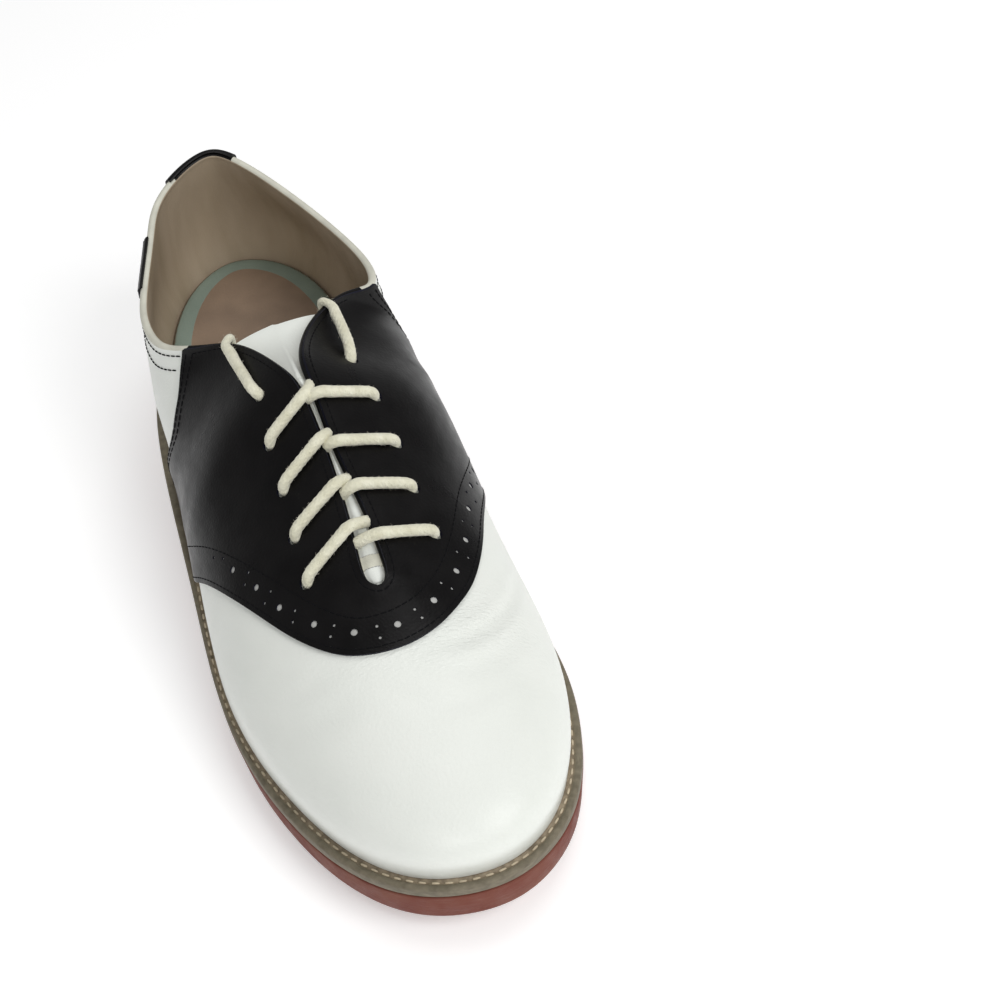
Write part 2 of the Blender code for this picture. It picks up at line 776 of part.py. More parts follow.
def add_saddle(punches):
    points, faces = upper_grid(GAP)
    saddle = add_mesh("saddle", points, faces, BLACK_LEATHER)
    thicken(saddle, SADDLE_THICKNESS, 1)
    cut(saddle, add_saddle_knife(), "INTERSECT")
    cut(saddle, punches)
    apply_modifiers(saddle)
    shade(saddle)


# Tongue


def over_facings(row):
    """How far each point of a row stands above the underside of the facings over it."""
    ring = np.linspace(0.46, 0.72, 80)[:, None]
    rise = np.linspace(0.5, 1.0, 60)[None, :]
    above = np.concatenate([lifted(side, rise, -WALL - GAP * 2).reshape(-1, 3) for side in (ring, 2 - ring)])
    apart = np.linalg.norm(row[:, None, :2] - above[None, :, :2], axis=2)
    nearest = apart.argmin(axis=1)
    too_high = np.maximum(row[:, 2] - above[nearest, 2], 0)
    return np.where(apart.min(axis=1) < WALL * 2, too_high, 0)


def add_tongue():
    """A leather tongue under the facings, rounded ahead of the slot, that stands out above them."""
    under = -(WALL + GAP)
    half = TONGUE_WIDTH / 2
    rows = []
    for share in np.linspace(0.16, 0.50, TONGUE_ROWS):
        row = []
        for ring, across in ((share, (1.0, 0.75, 0.5, 0.25, 0.0)), (2 - share, (0.0, 0.25, 0.5, 0.75, 1.0))):
            foot, top = last_point(ring, 0.0), last_point(ring, 1.0)
            length = np.linalg.norm(top - foot) * 1.2
            for part in across:
                row.append(lifted(ring, 1 - part * half / length, under))
        rows.append(row)
    base = np.array(rows[-1])
    middle = (base[4] + base[5]) / 2
    away = (base[:, 0] - middle[0]) / half
    for step in np.linspace(0, 1, 9)[1:]:
        settle = step * step * (3 - 2 * step)
        arch = middle[2] - TONGUE_DROP * step - TONGUE_ARCH * (1 - 0.76 * settle) * away**2
        height = base[:, 2] * (1 - settle) + arch * settle
        across = away * half * (1 + 0.06 * step)
        along = TONGUE_LENGTH * step * (1 + 0.075 * away - 0.10 * away**6)
        rows.append(np.stack([middle[0] + across, base[:, 1] + along, height], -1))
    points = np.array(rows)
    low = np.array([over_facings(row) for row in points[TONGUE_ROWS:]])
    points[TONGUE_ROWS:] -= UP * eased(low)[..., None]
    faces = grid_faces(points.shape[0], points.shape[1])
    tongue = add_mesh("tongue", points.reshape(-1, 3), faces, WHITE_LEATHER)
    turn_up(tongue)
    thicken(tongue, TONGUE_THICKNESS, -1)
    apply_modifiers(tongue)
    shade(tongue)


def eased(low):
    """A lowering spread softly to the neighbours, with none of it lost."""
    for _ in range(3):
        wide = np.pad(low, 1, mode="edge")
        around = (wide[:-2, 1:-1] + wide[2:, 1:-1] + wide[1:-1, :-2] + wide[1:-1, 2:]) / 4
        low = np.maximum(low, around)
    return low


def turn_up(piece):
    """Turns a sheet so that its faces look up."""
    work = bmesh.new()
    work.from_mesh(piece.data)
    if sum(face.normal.z * face.calc_area() for face in work.faces) < 0:
        bmesh.ops.reverse_faces(work, faces=work.faces)
    work.to_mesh(piece.data)
    work.free()


# Lace


def add_cord(name, points, look=COTTON, group=PARTS):
    """A round cord on a curve through its points, with closed ends."""
    data = bpy.data.curves.new(name, "CURVE")
    data.dimensions = "3D"
    data.bevel_depth = LACE_DIAMETER / 2
    data.bevel_resolution = 2
    data.use_fill_caps = True
    spline = data.splines.new("POLY")
    spline.points.add(len(points) - 1)
    for place, point in zip(spline.points, points):
        place.co = (*point, 1)
    data.materials.append(look)
    piece = bpy.data.objects.new(name, data)
    group.objects.link(piece)
    return piece


def as_mesh(piece):
    """The cord as a mesh object with welded caps."""
    seen = piece.evaluated_get(bpy.context.evaluated_depsgraph_get())
    mesh = bpy.data.meshes.new_from_object(seen)
    work = bmesh.new()
    work.from_mesh(mesh)
    bmesh.ops.remove_doubles(work, verts=work.verts, dist=1e-6)
    work.to_mesh(mesh)
    work.free()
    made = bpy.data.objects.new(piece.name, mesh)
    made.matrix_world = piece.matrix_world
    piece.users_collection[0].objects.link(made)
    bpy.data.objects.remove(piece, do_unlink=True)
    return made


OVER_SADDLE = GAP + SADDLE_THICKNESS + GAP + LACE_DIAMETER / 2


def along_topline(share):
    """The rib, by its place along the feather line, whose top is at a share of the topline's lateral side."""
    return float(np.interp(share, [row[1] for row in RIBS_LATERAL], [row[0] for row in RIBS_LATERAL]))


def strand(eyelet_ring, eyelet_rise, end_ring):
    """A strand's middle line over the saddle, from its eyelet to the facing's edge."""
    t = np.linspace(0, 1, STRAND_POINTS)
    return lifted(eyelet_ring + (end_ring - eyelet_ring) * t, eyelet_rise + (1 - eyelet_rise) * t, OVER_SADDLE)


def add_lace_rows():
    """Four crossings: below the top pair, each row's two strands meet over the slot and are one solid."""
    for row, (lateral_end, medial_end) in enumerate(CROSSINGS):
        lateral, lateral_rise, medial, medial_rise = EYELETS[row + 1]
        over_way = strand(lateral, lateral_rise, along_topline(lateral_end))
        under_way = strand(2 - medial, medial_rise, 2 - along_topline(medial_end))
        meeting = (over_way[-1] + under_way[-1]) / 2
        over = as_mesh(add_cord(f"lace_row_{row + 1}", np.vstack([over_way, meeting])))
        under = as_mesh(add_cord(f"lace_under_{row + 1}", np.vstack([under_way, meeting]), COTTON, CUTTERS))
        hide_cutter(under)
        cut(over, under, "UNION")
        apply_modifiers(over)
        over.name = f"lace_row_{row + 1}"
        shade(over)


def smooth_path(points, count):
    """A smooth curve through a cord's own points."""
    points = np.array(points, float)
    chord = np.concatenate([[0], np.cumsum(np.linalg.norm(np.diff(points, axis=0), axis=1))])
    return natural_spline(chord, points)(np.linspace(0, chord[-1], count))


def add_lace_ends():
    """The lace's two ends, from the top eyelets over the facings and down into the shoe."""
    lateral, lateral_rise, medial, medial_rise = EYELETS[0]
    for name, ring, over, rise, side in (("lace_end_lateral", lateral, END_OVER[0], lateral_rise, 1),
                                         ("lace_end_medial", 2 - medial, 2 - END_OVER[1], medial_rise, -1)):
        t = np.linspace(0, 1, 5)
        way = lifted(ring + (over - ring) * t, rise + (1 - rise) * t, OVER_SADDLE + GAP * 2)
        edge = last_point(over, 1.0)
        tail = [edge + np.array([side * across, along, above]) for across, along, above in LACE_TAIL]
        add_cord(name, smooth_path(np.vstack([way, tail]), END_POINTS))


def build():
    punches = add_eyelet_punches()
    add_outsole()
    add_heel()
    add_welt()
    add_insole()
    add_upper(punches)
    add_saddle(punches)
    add_tongue()
    add_lace_rows()
    add_lace_ends()


build()
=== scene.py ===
"""The looks of a saddle shoe for the right foot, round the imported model.

Metres. The toe points to -Y and the outer (lateral) side of the foot is at -X. Every leather piece is laid
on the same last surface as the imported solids: last_point(ring, rise), where ring 0 is the tip of the toe, 1
the back of the heel by the lateral side and 2 the toe again by the medial side, and rise goes from the
feather line, where the upper meets the welt, to the topline. A place is a ring number counted from the toe,
negative on the lateral side and positive on the medial one.
"""
import math
import random

import bpy
import numpy as np
from mathutils import Matrix, Vector, geometry


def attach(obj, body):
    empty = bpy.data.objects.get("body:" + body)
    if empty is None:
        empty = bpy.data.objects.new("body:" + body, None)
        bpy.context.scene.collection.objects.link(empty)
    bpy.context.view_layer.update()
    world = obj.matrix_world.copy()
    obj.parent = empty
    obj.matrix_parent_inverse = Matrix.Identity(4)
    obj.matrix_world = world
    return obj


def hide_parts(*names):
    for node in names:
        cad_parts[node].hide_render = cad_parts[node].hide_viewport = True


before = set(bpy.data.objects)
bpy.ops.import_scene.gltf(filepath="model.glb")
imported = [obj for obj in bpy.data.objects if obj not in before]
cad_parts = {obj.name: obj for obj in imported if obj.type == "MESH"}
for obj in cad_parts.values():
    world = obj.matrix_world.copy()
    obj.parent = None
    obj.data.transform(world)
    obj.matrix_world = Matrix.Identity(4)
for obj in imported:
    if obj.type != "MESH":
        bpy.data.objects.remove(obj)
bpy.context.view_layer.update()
random.seed(5)
MM = 0.001

# Overall sizes
LENGTH = 0.280          # outsole, toe to heel
BALL_WIDTH = 0.103      # outsole, across the ball of the foot
INSTEP_HEIGHT = 0.070   # facings above the welt, at the top of the slot
HEEL_LIFT = 0.014       # height of the heel block
TOE_SPRING = 0.0075     # how far the tip of the outsole is off the ground

# Walls and clearances
SOLE_THICKNESS = 0.0105
WELT_THICKNESS = 0.0035
WELT_SHOWS = 0.0037     # width of welt outside the upper, at the toe
WALL = 0.0022           # upper: outside leather and lining together
TONGUE_THICKNESS = 0.0018
HEEL_PAD = 0.0050       # how much thicker the insole is under the heel
GAP = 0.0003            # between pieces that meet
SOLE_TAPER = 0.0008     # how far the sole's side leans in at the ground
HEEL_LENGTH = 0.074
EYELET_DIAMETER = 0.0042

# Outline of the outsole. Along is from the heel (0) to the toe (1), across is a share of the ball width.
OUTLINE_LATERAL = [
    # along, across
    (1.000, 0.087),
    (0.985, -0.094),
    (0.935, -0.243),
    (0.855, -0.357),
    (0.750, -0.438),
    (0.640, -0.464),
    (0.500, -0.452),
    (0.360, -0.436),
    (0.240, -0.402),
    (0.120, -0.318),
    (0.035, -0.180),
]
OUTLINE_MEDIAL = [
    (0.000, 0.000),
    (0.030, 0.180),
    (0.110, 0.302),
    (0.220, 0.345),
    (0.360, 0.368),
    (0.500, 0.402),
    (0.620, 0.448),
    (0.740, 0.490),
    (0.840, 0.461),
    (0.930, 0.365),
    (0.982, 0.232),
]

# Underside of the outsole: heel_share is of the heel lift, toe_share is of the toe spring.
UNDERSIDE = [
    # along, heel_share, toe_share
    (0.00, 1.00, 0.00),
    (0.26, 1.00, 0.00),
    (0.34, 0.83, 0.00),
    (0.45, 0.38, 0.00),
    (0.55, 0.08, 0.00),
    (0.63, 0.00, 0.00),
    (0.75, 0.00, 0.00),
    (0.85, 0.00, 0.20),
    (0.93, 0.00, 0.55),
    (1.00, 0.00, 1.00),
]

# Topline, front of the slot to the back of the heel. Height is a share of the instep height above the welt.
TOPLINE_LATERAL = [
    # along, across, height
    (0.7320, 0.032, 0.674),
    (0.7250, 0.008, 0.688),
    (0.7080, 0.003, 0.715),
    (0.6700, 0.012, 0.774),
    (0.6250, 0.018, 0.836),
    (0.5780, 0.018, 0.893),
    (0.5350, 0.012, 0.948),
    (0.5030, -0.003, 0.983),
    (0.4700, -0.034, 0.960),
    (0.4250, -0.080, 0.885),
    (0.3860, -0.142, 0.800),
    (0.3600, -0.218, 0.722),
    (0.3370, -0.294, 0.668),
    (0.3080, -0.343, 0.620),
    (0.2640, -0.361, 0.592),
    (0.2140, -0.344, 0.592),
    (0.1250, -0.269, 0.648),
    (0.0640, -0.190, 0.712),
]
TOPLINE_MEDIAL = [
    (0.0245, -0.008, 0.773),
    (0.0430, 0.088, 0.756),
    (0.1300, 0.229, 0.686),
    (0.1960, 0.306, 0.650),
    (0.2640, 0.354, 0.650),
    (0.3110, 0.359, 0.676),
    (0.3370, 0.325, 0.706),
    (0.3490, 0.242, 0.742),
    (0.3890, 0.136, 0.832),
    (0.4340, 0.068, 0.915),
    (0.4780, 0.036, 0.975),
    (0.5180, 0.035, 0.972),
    (0.5720, 0.038, 0.902),
    (0.6250, 0.050, 0.836),
    (0.6700, 0.061, 0.774),
    (0.7080, 0.063, 0.715),
    (0.7260, 0.056, 0.686),
]

# Ribs of the upper. Foot and top are shares of the way round the feather line and the topline. Welt is a
# share of the welt's showing width, bulge of the ball width, and girth (where the rib is widest) of the rib's
# height. Lift and reach, the curve's two handles, are shares of the straight way from there to the topline,
# and arrive is the slope there in degrees.
RIBS_LATERAL = [
    # foot, top, welt, bulge, girth, lift, reach, arrive
    (0.00, 0.000, 1.00, 0.010, 0.19, 0.18, 0.44, 30),
    (0.12, 0.007, 1.00, 0.010, 0.19, 0.19, 0.42, 28),
    (0.22, 0.018, 0.95, 0.008, 0.19, 0.22, 0.40, 24),
    (0.30, 0.050, 0.75, 0.002, 0.19, 0.26, 0.38, 21),
    (0.37, 0.120, 0.60, -0.004, 0.19, 0.28, 0.36, 20),
    (0.44, 0.210, 0.65, -0.008, 0.20, 0.30, 0.34, 22),
    (0.50, 0.305, 0.80, -0.012, 0.22, 0.34, 0.32, 30),
    (0.56, 0.400, 1.00, -0.012, 0.26, 0.38, 0.30, 46),
    (0.66, 0.560, 1.20, 0.006, 0.40, 0.36, 0.30, 80),
    (0.75, 0.680, 1.20, 0.020, 0.45, 0.35, 0.33, 92),
    (0.85, 0.800, 0.95, 0.020, 0.42, 0.33, 0.33, 86),
    (0.93, 0.905, 0.80, 0.018, 0.42, 0.33, 0.33, 80),
    (1.00, 1.000, 0.75, 0.018, 0.42, 0.33, 0.33, 78),
]
RIBS_MEDIAL = [
    (0.00, 0.000, 1.00, 0.010, 0.19, 0.18, 0.44, 30),
    (0.12, 0.007, 1.00, 0.010, 0.19, 0.19, 0.42, 28),
    (0.22, 0.018, 1.00, 0.010, 0.19, 0.22, 0.40, 24),
    (0.30, 0.050, 0.95, 0.010, 0.20, 0.27, 0.38, 21),
    (0.37, 0.120, 0.85, 0.020, 0.23, 0.32, 0.36, 20),
    (0.44, 0.210, 0.80, 0.040, 0.28, 0.38, 0.34, 24),
    (0.50, 0.305, 0.75, 0.050, 0.34, 0.42, 0.32, 34),
    (0.56, 0.400, 0.75, 0.056, 0.40, 0.46, 0.30, 54),
    (0.66, 0.560, 0.75, 0.056, 0.46, 0.42, 0.32, 74),
    (0.75, 0.680, 0.80, 0.044, 0.46, 0.36, 0.33, 88),
    (0.85, 0.800, 0.80, 0.028, 0.42, 0.33, 0.33, 84),
    (0.93, 0.905, 0.75, 0.021, 0.42, 0.33, 0.33, 80),
    (1.00, 1.000, 0.75, 0.018, 0.42, 0.33, 0.33, 78),
]

# Eyelets, top pair first: ring number and rise of the hole on each side.
EYELETS = [
    # lateral place, rise, medial place, rise
    (0.508, 0.875, 0.530, 0.810),
    (0.467, 0.820, 0.485, 0.775),
    (0.422, 0.805, 0.438, 0.757),
    (0.372, 0.785, 0.385, 0.765),
    (0.320, 0.770, 0.330, 0.745),
]
# Lace ends: each runs from its top eyelet to this ring number on the topline, and over it into the shoe.
END_OVER = [0.590, 0.605]   # lateral, medial
RIB_LEAN = 0.020        # how strongly a short rib's top turns to the foot line's own outward direction


def natural_spline(places, values):
    """A smooth curve (natural cubic) through values at places, as a function."""
    x = np.array(places, float)
    y = np.array(values, float)
    count = len(x)
    step = np.diff(x)
    matrix = np.eye(count)
    right = np.zeros_like(y)
    for i in range(1, count - 1):
        matrix[i, i - 1:i + 2] = step[i - 1], 2 * (step[i - 1] + step[i]), step[i]
        right[i] = 6 * ((y[i + 1] - y[i]) / step[i] - (y[i] - y[i - 1]) / step[i - 1])
    bend = np.linalg.solve(matrix, right)

    def curve(at):
        at = np.clip(np.asarray(at, float), x[0], x[-1])
        i = np.clip(np.searchsorted(x, at, side="right") - 1, 0, count - 2)
        h = step[i]
        before = at - x[i]
        after = x[i + 1] - at
        if y.ndim > 1:
            h, before, after = h[..., None], before[..., None], after[..., None]
        cubic = (bend[i] * after**3 + bend[i + 1] * before**3) / (6 * h)
        line = (y[i] / h - bend[i] * h / 6) * after + (y[i + 1] / h - bend[i + 1] * h / 6) * before
        return cubic + line

    return curve


def level_spline(places, values):
    """A smooth curve that stays level between equal values and never overshoots (monotone cubic)."""
    x = np.array(places, float)
    y = np.array(values, float)
    step = np.diff(x)
    slope = np.diff(y) / step
    lean = np.zeros_like(y)
    same_way = slope[:-1] * slope[1:] > 0
    lean[1:-1][same_way] = 2 / (1 / slope[:-1][same_way] + 1 / slope[1:][same_way])
    lean[0], lean[-1] = slope[0], slope[-1]

    def curve(at):
        at = np.clip(np.asarray(at, float), x[0], x[-1])
        i = np.clip(np.searchsorted(x, at, side="right") - 1, 0, len(x) - 2)
        t = (at - x[i]) / step[i]
        ends = (1 + 2 * t) * (1 - t)**2 * y[i] + t * t * (3 - 2 * t) * y[i + 1]
        return ends + step[i] * (t * (1 - t)**2 * lean[i] - t * t * (1 - t) * lean[i + 1])

    return curve


def distances(way):
    """How far each point of a way is from its first one, along it."""
    return np.concatenate([[0], np.cumsum(np.linalg.norm(np.diff(way, axis=0), axis=1))])


def between(at, places, rows):
    """Rows at places between those of a table, column by column."""
    return np.stack([np.interp(at, places, column) for column in rows.T], -1)


class Loop:
    """A closed smooth curve through a lateral list (front to back) and a medial list (back to front)."""

    SAMPLES = 1200

    def __init__(self, lateral, medial):
        points = np.array(list(lateral) + list(medial), float)
        count = len(points)
        laps = np.vstack([points] * 3 + [points[:1]])
        chord = np.sqrt(np.linalg.norm(np.diff(laps, axis=0), axis=1))
        knots = np.concatenate([[0], np.cumsum(chord)])
        curve = natural_spline(knots, laps)
        stops = knots[count], knots[count + len(lateral)], knots[2 * count]
        places, way = [], []
        for side in (0, 1):
            part = curve(np.linspace(stops[side], stops[side + 1], self.SAMPLES))
            length = distances(part)
            places.append(side + length / length[-1])
            way.append(part)
        self.places = np.concatenate([places[0], places[1][1:]])
        self.way = np.concatenate([way[0], way[1][1:]])

    def at(self, ring):
        return between(np.mod(np.asarray(ring, float), 2), self.places, self.way)

    def middle(self):
        return (self.way.min(axis=0) + self.way.max(axis=0)) / 2


def plan_rows(rows, middle):
    return [(across * BALL_WIDTH - middle[0], LENGTH * (0.5 - along) - middle[1]) for along, across in rows]


def outline_loop(middle):
    return Loop(plan_rows(OUTLINE_LATERAL, middle), plan_rows(OUTLINE_MEDIAL, middle))


MIDDLE = outline_loop((0, 0)).middle()
OUTLINE = outline_loop(MIDDLE)
heel_share = level_spline([row[0] for row in UNDERSIDE], [row[1] for row in UNDERSIDE])
toe_share = level_spline([row[0] for row in UNDERSIDE], [row[2] for row in UNDERSIDE])


def underside(y):
    """Height of the outsole's underside."""
    along = 0.5 - (np.asarray(y, float) + MIDDLE[1]) / LENGTH
    return HEEL_LIFT * heel_share(along) + TOE_SPRING * toe_share(along)


def sole_top(y):
    return underside(y) + SOLE_THICKNESS


def welt_top(y):
    return sole_top(y) + GAP + WELT_THICKNESS


def topline_rows(rows):
    placed = []
    for along, across, height in rows:
        y = LENGTH * (0.5 - along) - MIDDLE[1]
        placed.append((across * BALL_WIDTH - MIDDLE[0], y, welt_top(y) + height * INSTEP_HEIGHT))
    return placed


def rib_curve():
    """The ribs' table as one smooth curve of the ring number; the topline's share is a ring number too."""
    rows = [list(row) for row in RIBS_LATERAL]
    rows += [[2 - row[0], 2 - row[1]] + list(row[2:]) for row in RIBS_MEDIAL[-2:0:-1]]
    laps = []
    for lap in (-2, 0, 2):
        laps += [[row[0] + lap, row[1] + lap] + row[2:] for row in rows]
    return natural_spline([row[0] for row in laps], [row[1:] for row in laps])


TOPLINE = Loop(topline_rows(TOPLINE_LATERAL), topline_rows(TOPLINE_MEDIAL))
RIB = rib_curve()
UP = np.array([0.0, 0.0, 1.0])


def outward(ring):
    """The outline's outward direction in plan, as a vector with no height."""
    step = 0.002
    tangent = OUTLINE.at(np.asarray(ring, float) + step) - OUTLINE.at(np.asarray(ring, float) - step)
    tangent = tangent / np.linalg.norm(tangent, axis=-1)[..., None]
    return np.stack([-tangent[..., 1], tangent[..., 0], np.zeros(tangent.shape[:-1])], -1)


def welt_shows(ring):
    return RIB(np.mod(ring, 2))[..., 1] * WELT_SHOWS


def plan_point(ring, inset):
    """The outline moved in by an inset, as points with no height."""
    point = OUTLINE.at(ring)
    point = np.concatenate([point, np.zeros(point.shape[:-1] + (1,))], -1)
    return point - outward(ring) * np.broadcast_to(inset, point.shape[:-1])[..., None]


def bezier(a, b, c, d, t):
    return (1 - t)**3 * a + 3 * t * (1 - t)**2 * b + 3 * t**2 * (1 - t) * c + t**3 * d


def rib_shape(ring):
    """The control points of a rib: foot, widest point and topline, with the curve's handles."""
    top, welt, bulge, girth, lift, reach, arrive = np.moveaxis(RIB(np.mod(ring, 2)), -1, 0)[..., None]
    out = outward(ring)
    start = plan_point(ring, welt[..., 0] * WELT_SHOWS)
    start = start + UP * (welt_top(start[..., 1]) + GAP)[..., None]
    end = TOPLINE.at(top[..., 0])
    height = (end[..., 2:] - start[..., 2:]) * girth
    swell = out * bulge * BALL_WIDTH
    widest = start + swell + UP * height
    low_a = start + UP * height * 0.4
    low_b = widest - UP * height * 0.4
    straight = np.linalg.norm(end - widest, axis=-1)[..., None]
    aim = (widest - end) * np.array([1, 1, 0]) + out * RIB_LEAN
    aim = aim / np.linalg.norm(aim, axis=-1)[..., None]
    slope = np.radians(arrive)
    high_a = widest + UP * lift * straight
    high_b = end + (aim * np.cos(slope) - UP * np.sin(slope)) * reach * straight
    return start, low_a, low_b, widest, high_a, high_b, end


RIB_SAMPLES = 49
LOW_SHARE = 0.25        # of a rib's samples, those below its widest point


def last_point(ring, rise):
    """A point of the upper's outside; rise goes up the rib from the feather line (0) to the topline (1)."""
    ring, rise = np.broadcast_arrays(np.asarray(ring, float), np.asarray(rise, float))
    start, low_a, low_b, widest, high_a, high_b, end = rib_shape(ring)
    way = []
    for t in np.linspace(0, 1, RIB_SAMPLES):
        if t < LOW_SHARE:
            way.append(bezier(start, low_a, low_b, widest, t / LOW_SHARE))
        else:
            way.append(bezier(widest, high_a, high_b, end, (t - LOW_SHARE) / (1 - LOW_SHARE)))
    way = np.array(way)
    steps = np.linalg.norm(np.diff(way, axis=0), axis=-1)
    length = np.concatenate([np.zeros((1,) + ring.shape), np.cumsum(steps, axis=0)])
    where = rise * length[-1]
    before = np.clip((length <= where).sum(axis=0) - 1, 0, RIB_SAMPLES - 2)[None]
    so_far = np.take_along_axis(length, before, 0)[0]
    share = (where - so_far) / np.take_along_axis(steps, before, 0)[0]
    a = np.take_along_axis(way, before[..., None], 0)[0]
    b = np.take_along_axis(way, before[..., None] + 1, 0)[0]
    return a + (b - a) * share[..., None]


def last_normal(ring, rise):
    """The outward normal of the upper's outside."""
    ring, rise = np.broadcast_arrays(np.asarray(ring, float), np.asarray(rise, float))
    step = 0.005
    low = np.maximum(rise - step, 0)
    high = np.minimum(rise + step, 1)
    along = last_point(ring + step, rise) - last_point(ring - step, rise)
    up = last_point(ring, high) - last_point(ring, low)
    normal = np.cross(up, along)
    return normal / np.linalg.norm(normal, axis=-1)[..., None]


def lifted(ring, rise, height):
    """A point at a height over the upper's outside, or under it where the height is negative."""
    return last_point(ring, rise) + last_normal(ring, rise) * np.asarray(height, float)[..., None]


# Finishes


class Finish:
    """A Principled material with helpers for its nodes; patterns are in metres of the piece itself."""

    def __init__(self, name, color, roughness, **fixed):
        self.made = bpy.data.materials.new(name)
        self.made.use_nodes = True
        self.tree = self.made.node_tree
        self.shader = self.tree.nodes["Principled BSDF"]
        self.shader.inputs["Base Color"].default_value = (*color, 1)
        self.shader.inputs["Roughness"].default_value = roughness
        for socket, value in fixed.items():
            self.shader.inputs[socket.replace("_", " ").title().replace("Ior", "IOR")].default_value = value
        self.place = self.tree.nodes.new("ShaderNodeTexCoord").outputs["Object"]

    def node(self, kind, values, **settings):
        made = self.tree.nodes.new(kind)
        for key, value in settings.items():
            setattr(made, key, value)
        for key, value in values.items():
            if isinstance(value, bpy.types.NodeSocket):
                self.tree.links.new(value, made.inputs[key])
            else:
                made.inputs[key].default_value = value
        return made

    def stretched(self, scale, turn=(0, 0, 0)):
        values = {"Vector": self.place, "Scale": scale, "Rotation": turn}
        return self.node("ShaderNodeMapping", values).outputs[0]

    def noise(self, scale, detail=3, where=None):
        values = {"Vector": where or self.place, "Scale": scale, "Detail": detail, "Roughness": 0.5}
        return self.node("ShaderNodeTexNoise", values).outputs[0]

    def cells(self, scale, feature="SMOOTH_F1"):
        values = {"Vector": self.place, "Scale": scale}
        return self.node("ShaderNodeTexVoronoi", values, feature=feature).outputs["Distance"]

    def attribute(self, name):
        return self.node("ShaderNodeAttribute", {}, attribute_name=name).outputs["Fac"]

    def from_edge(self):
        """The map's second number."""
        place = self.node("ShaderNodeUVMap", {}, uv_map="map").outputs[0]
        return self.node("ShaderNodeSeparateXYZ", {0: place}).outputs[1]

    def spread(self, value, low, high, out_low=0.0, out_high=1.0):
        values = {0: value, 1: low, 2: high, 3: out_low, 4: out_high}
        return self.node("ShaderNodeMapRange", values).outputs[0]

    def maths(self, operation, a, b=0.0):
        return self.node("ShaderNodeMath", {0: a, 1: b}, operation=operation).outputs[0]

    def mix(self, factor, a, b):
        a, b = ((*color, 1) if isinstance(color, tuple) else color for color in (a, b))
        return self.node("ShaderNodeMix", {0: factor, 6: a, 7: b}, data_type="RGBA").outputs[2]

    def color(self, socket):
        self.tree.links.new(socket, self.shader.inputs["Base Color"])

    def roughness(self, socket):
        self.tree.links.new(socket, self.shader.inputs["Roughness"])

    def bump(self, *layers):
        """Layers of (height socket, depth in metres), each over the one before."""
        normal = None
        for height, depth in layers:
            values = {"Height": height, "Distance": depth, "Strength": 1.0}
            if normal:
                values["Normal"] = normal
            normal = self.node("ShaderNodeBump", values).outputs[0]
        self.tree.links.new(normal, self.shader.inputs["Normal"])


def white_leather():
    look = Finish("white_leather", (0.80, 0.80, 0.765), 0.42, coat_weight=0.10, coat_roughness=0.25)
    tone = look.noise(28, 2)
    # Darker and browner near the welt: partly dirt, partly painted shade in the corner where the upper meets the
    # welt.
    soil_and_shade = look.attribute("soil_and_shade")
    patchy_soil_and_shade = look.maths("MULTIPLY", soil_and_shade, look.spread(look.noise(150, 4), 0.25, 0.75))
    clean = look.mix(look.spread(tone, 0.3, 0.7), (0.85, 0.87, 0.82), (0.80, 0.825, 0.775))
    look.color(look.mix(patchy_soil_and_shade, clean, (0.42, 0.40, 0.34)))
    look.roughness(look.spread(look.noise(90, 3), 0.3, 0.7, 0.34, 0.50))
    lines = look.noise(1.0, 3, look.stretched((520, 1500, 700), (0, 0, 0.5)))
    look.bump((look.cells(1150), 0.00006), (look.noise(3200, 2), 0.00004),
              (look.maths("MULTIPLY", look.attribute("flex"), lines), 0.00055))
    return look.made


def black_leather():
    look = Finish("black_leather", (0.004, 0.0035, 0.004), 0.30, specular_ior_level=0.15, coat_weight=0.04,
                  coat_roughness=0.14)
    worn = look.spread(look.noise(60, 4), 0.35, 0.75)
    look.color(look.mix(worn, (0.0022, 0.0019, 0.0021), (0.0050, 0.0045, 0.0047)))
    look.roughness(look.spread(look.noise(120, 4), 0.3, 0.7, 0.26, 0.42))
    look.bump((look.cells(1500), 0.00004), (look.noise(70, 2), 0.00022))
    return look.made


def plain(name, color, roughness, grain=0.0, scale=900, **fixed):
    """A finish with a slight change of tone and a fine grain."""
    look = Finish(name, color, roughness, **fixed)
    darker = tuple(part * 0.82 for part in color)
    look.color(look.mix(look.spread(look.noise(scale / 6, 3), 0.3, 0.7), color, darker))
    if grain:
        look.bump((look.noise(scale, 3), grain))
    return look.made


def lining_leather():
    look = Finish("tan_lining", (0.40, 0.31, 0.23), 0.70)
    tone = look.noise(1.0, 3, look.stretched((60, 60, 16)))
    look.color(look.mix(look.spread(tone, 0.3, 0.72), (0.49, 0.40, 0.295), (0.37, 0.295, 0.20)))
    look.bump((look.noise(1.0, 2, look.stretched((95, 95, 12))), 0.0011), (look.noise(1400, 3), 0.00010))
    return look.made


def sock_leather():
    """The tan sock with a sage band along its edge; the map's second number is metres from the edge."""
    look = Finish("sock", (0.42, 0.31, 0.22), 0.68)
    ragged = look.maths("ADD", look.from_edge(), look.spread(look.noise(700, 3), 0, 1, -0.0004, 0.0004))
    tone = look.spread(look.noise(45, 5), 0.32, 0.72)
    tan = look.mix(tone, (0.30, 0.215, 0.15), (0.20, 0.142, 0.10))
    sage = look.mix(tone, (0.25, 0.315, 0.265), (0.195, 0.25, 0.21))
    inside = look.spread(ragged, 0.0070, 0.0077)
    outside = look.spread(ragged, 0.0006, 0.0010)
    band = look.maths("MULTIPLY", outside, look.maths("SUBTRACT", 1.0, inside))
    spots = look.spread(look.cells(75, "F1"), 0.05, 0.10, 0.55, 0.0)
    look.color(look.mix(look.maths("MULTIPLY", spots, look.spread(look.noise(30, 2), 0.55, 0.7)),
                        look.mix(band, tan, sage), (0.16, 0.11, 0.075)))
    look.bump((look.noise(900, 4), 0.00012), (band, 0.00012))
    return look.made


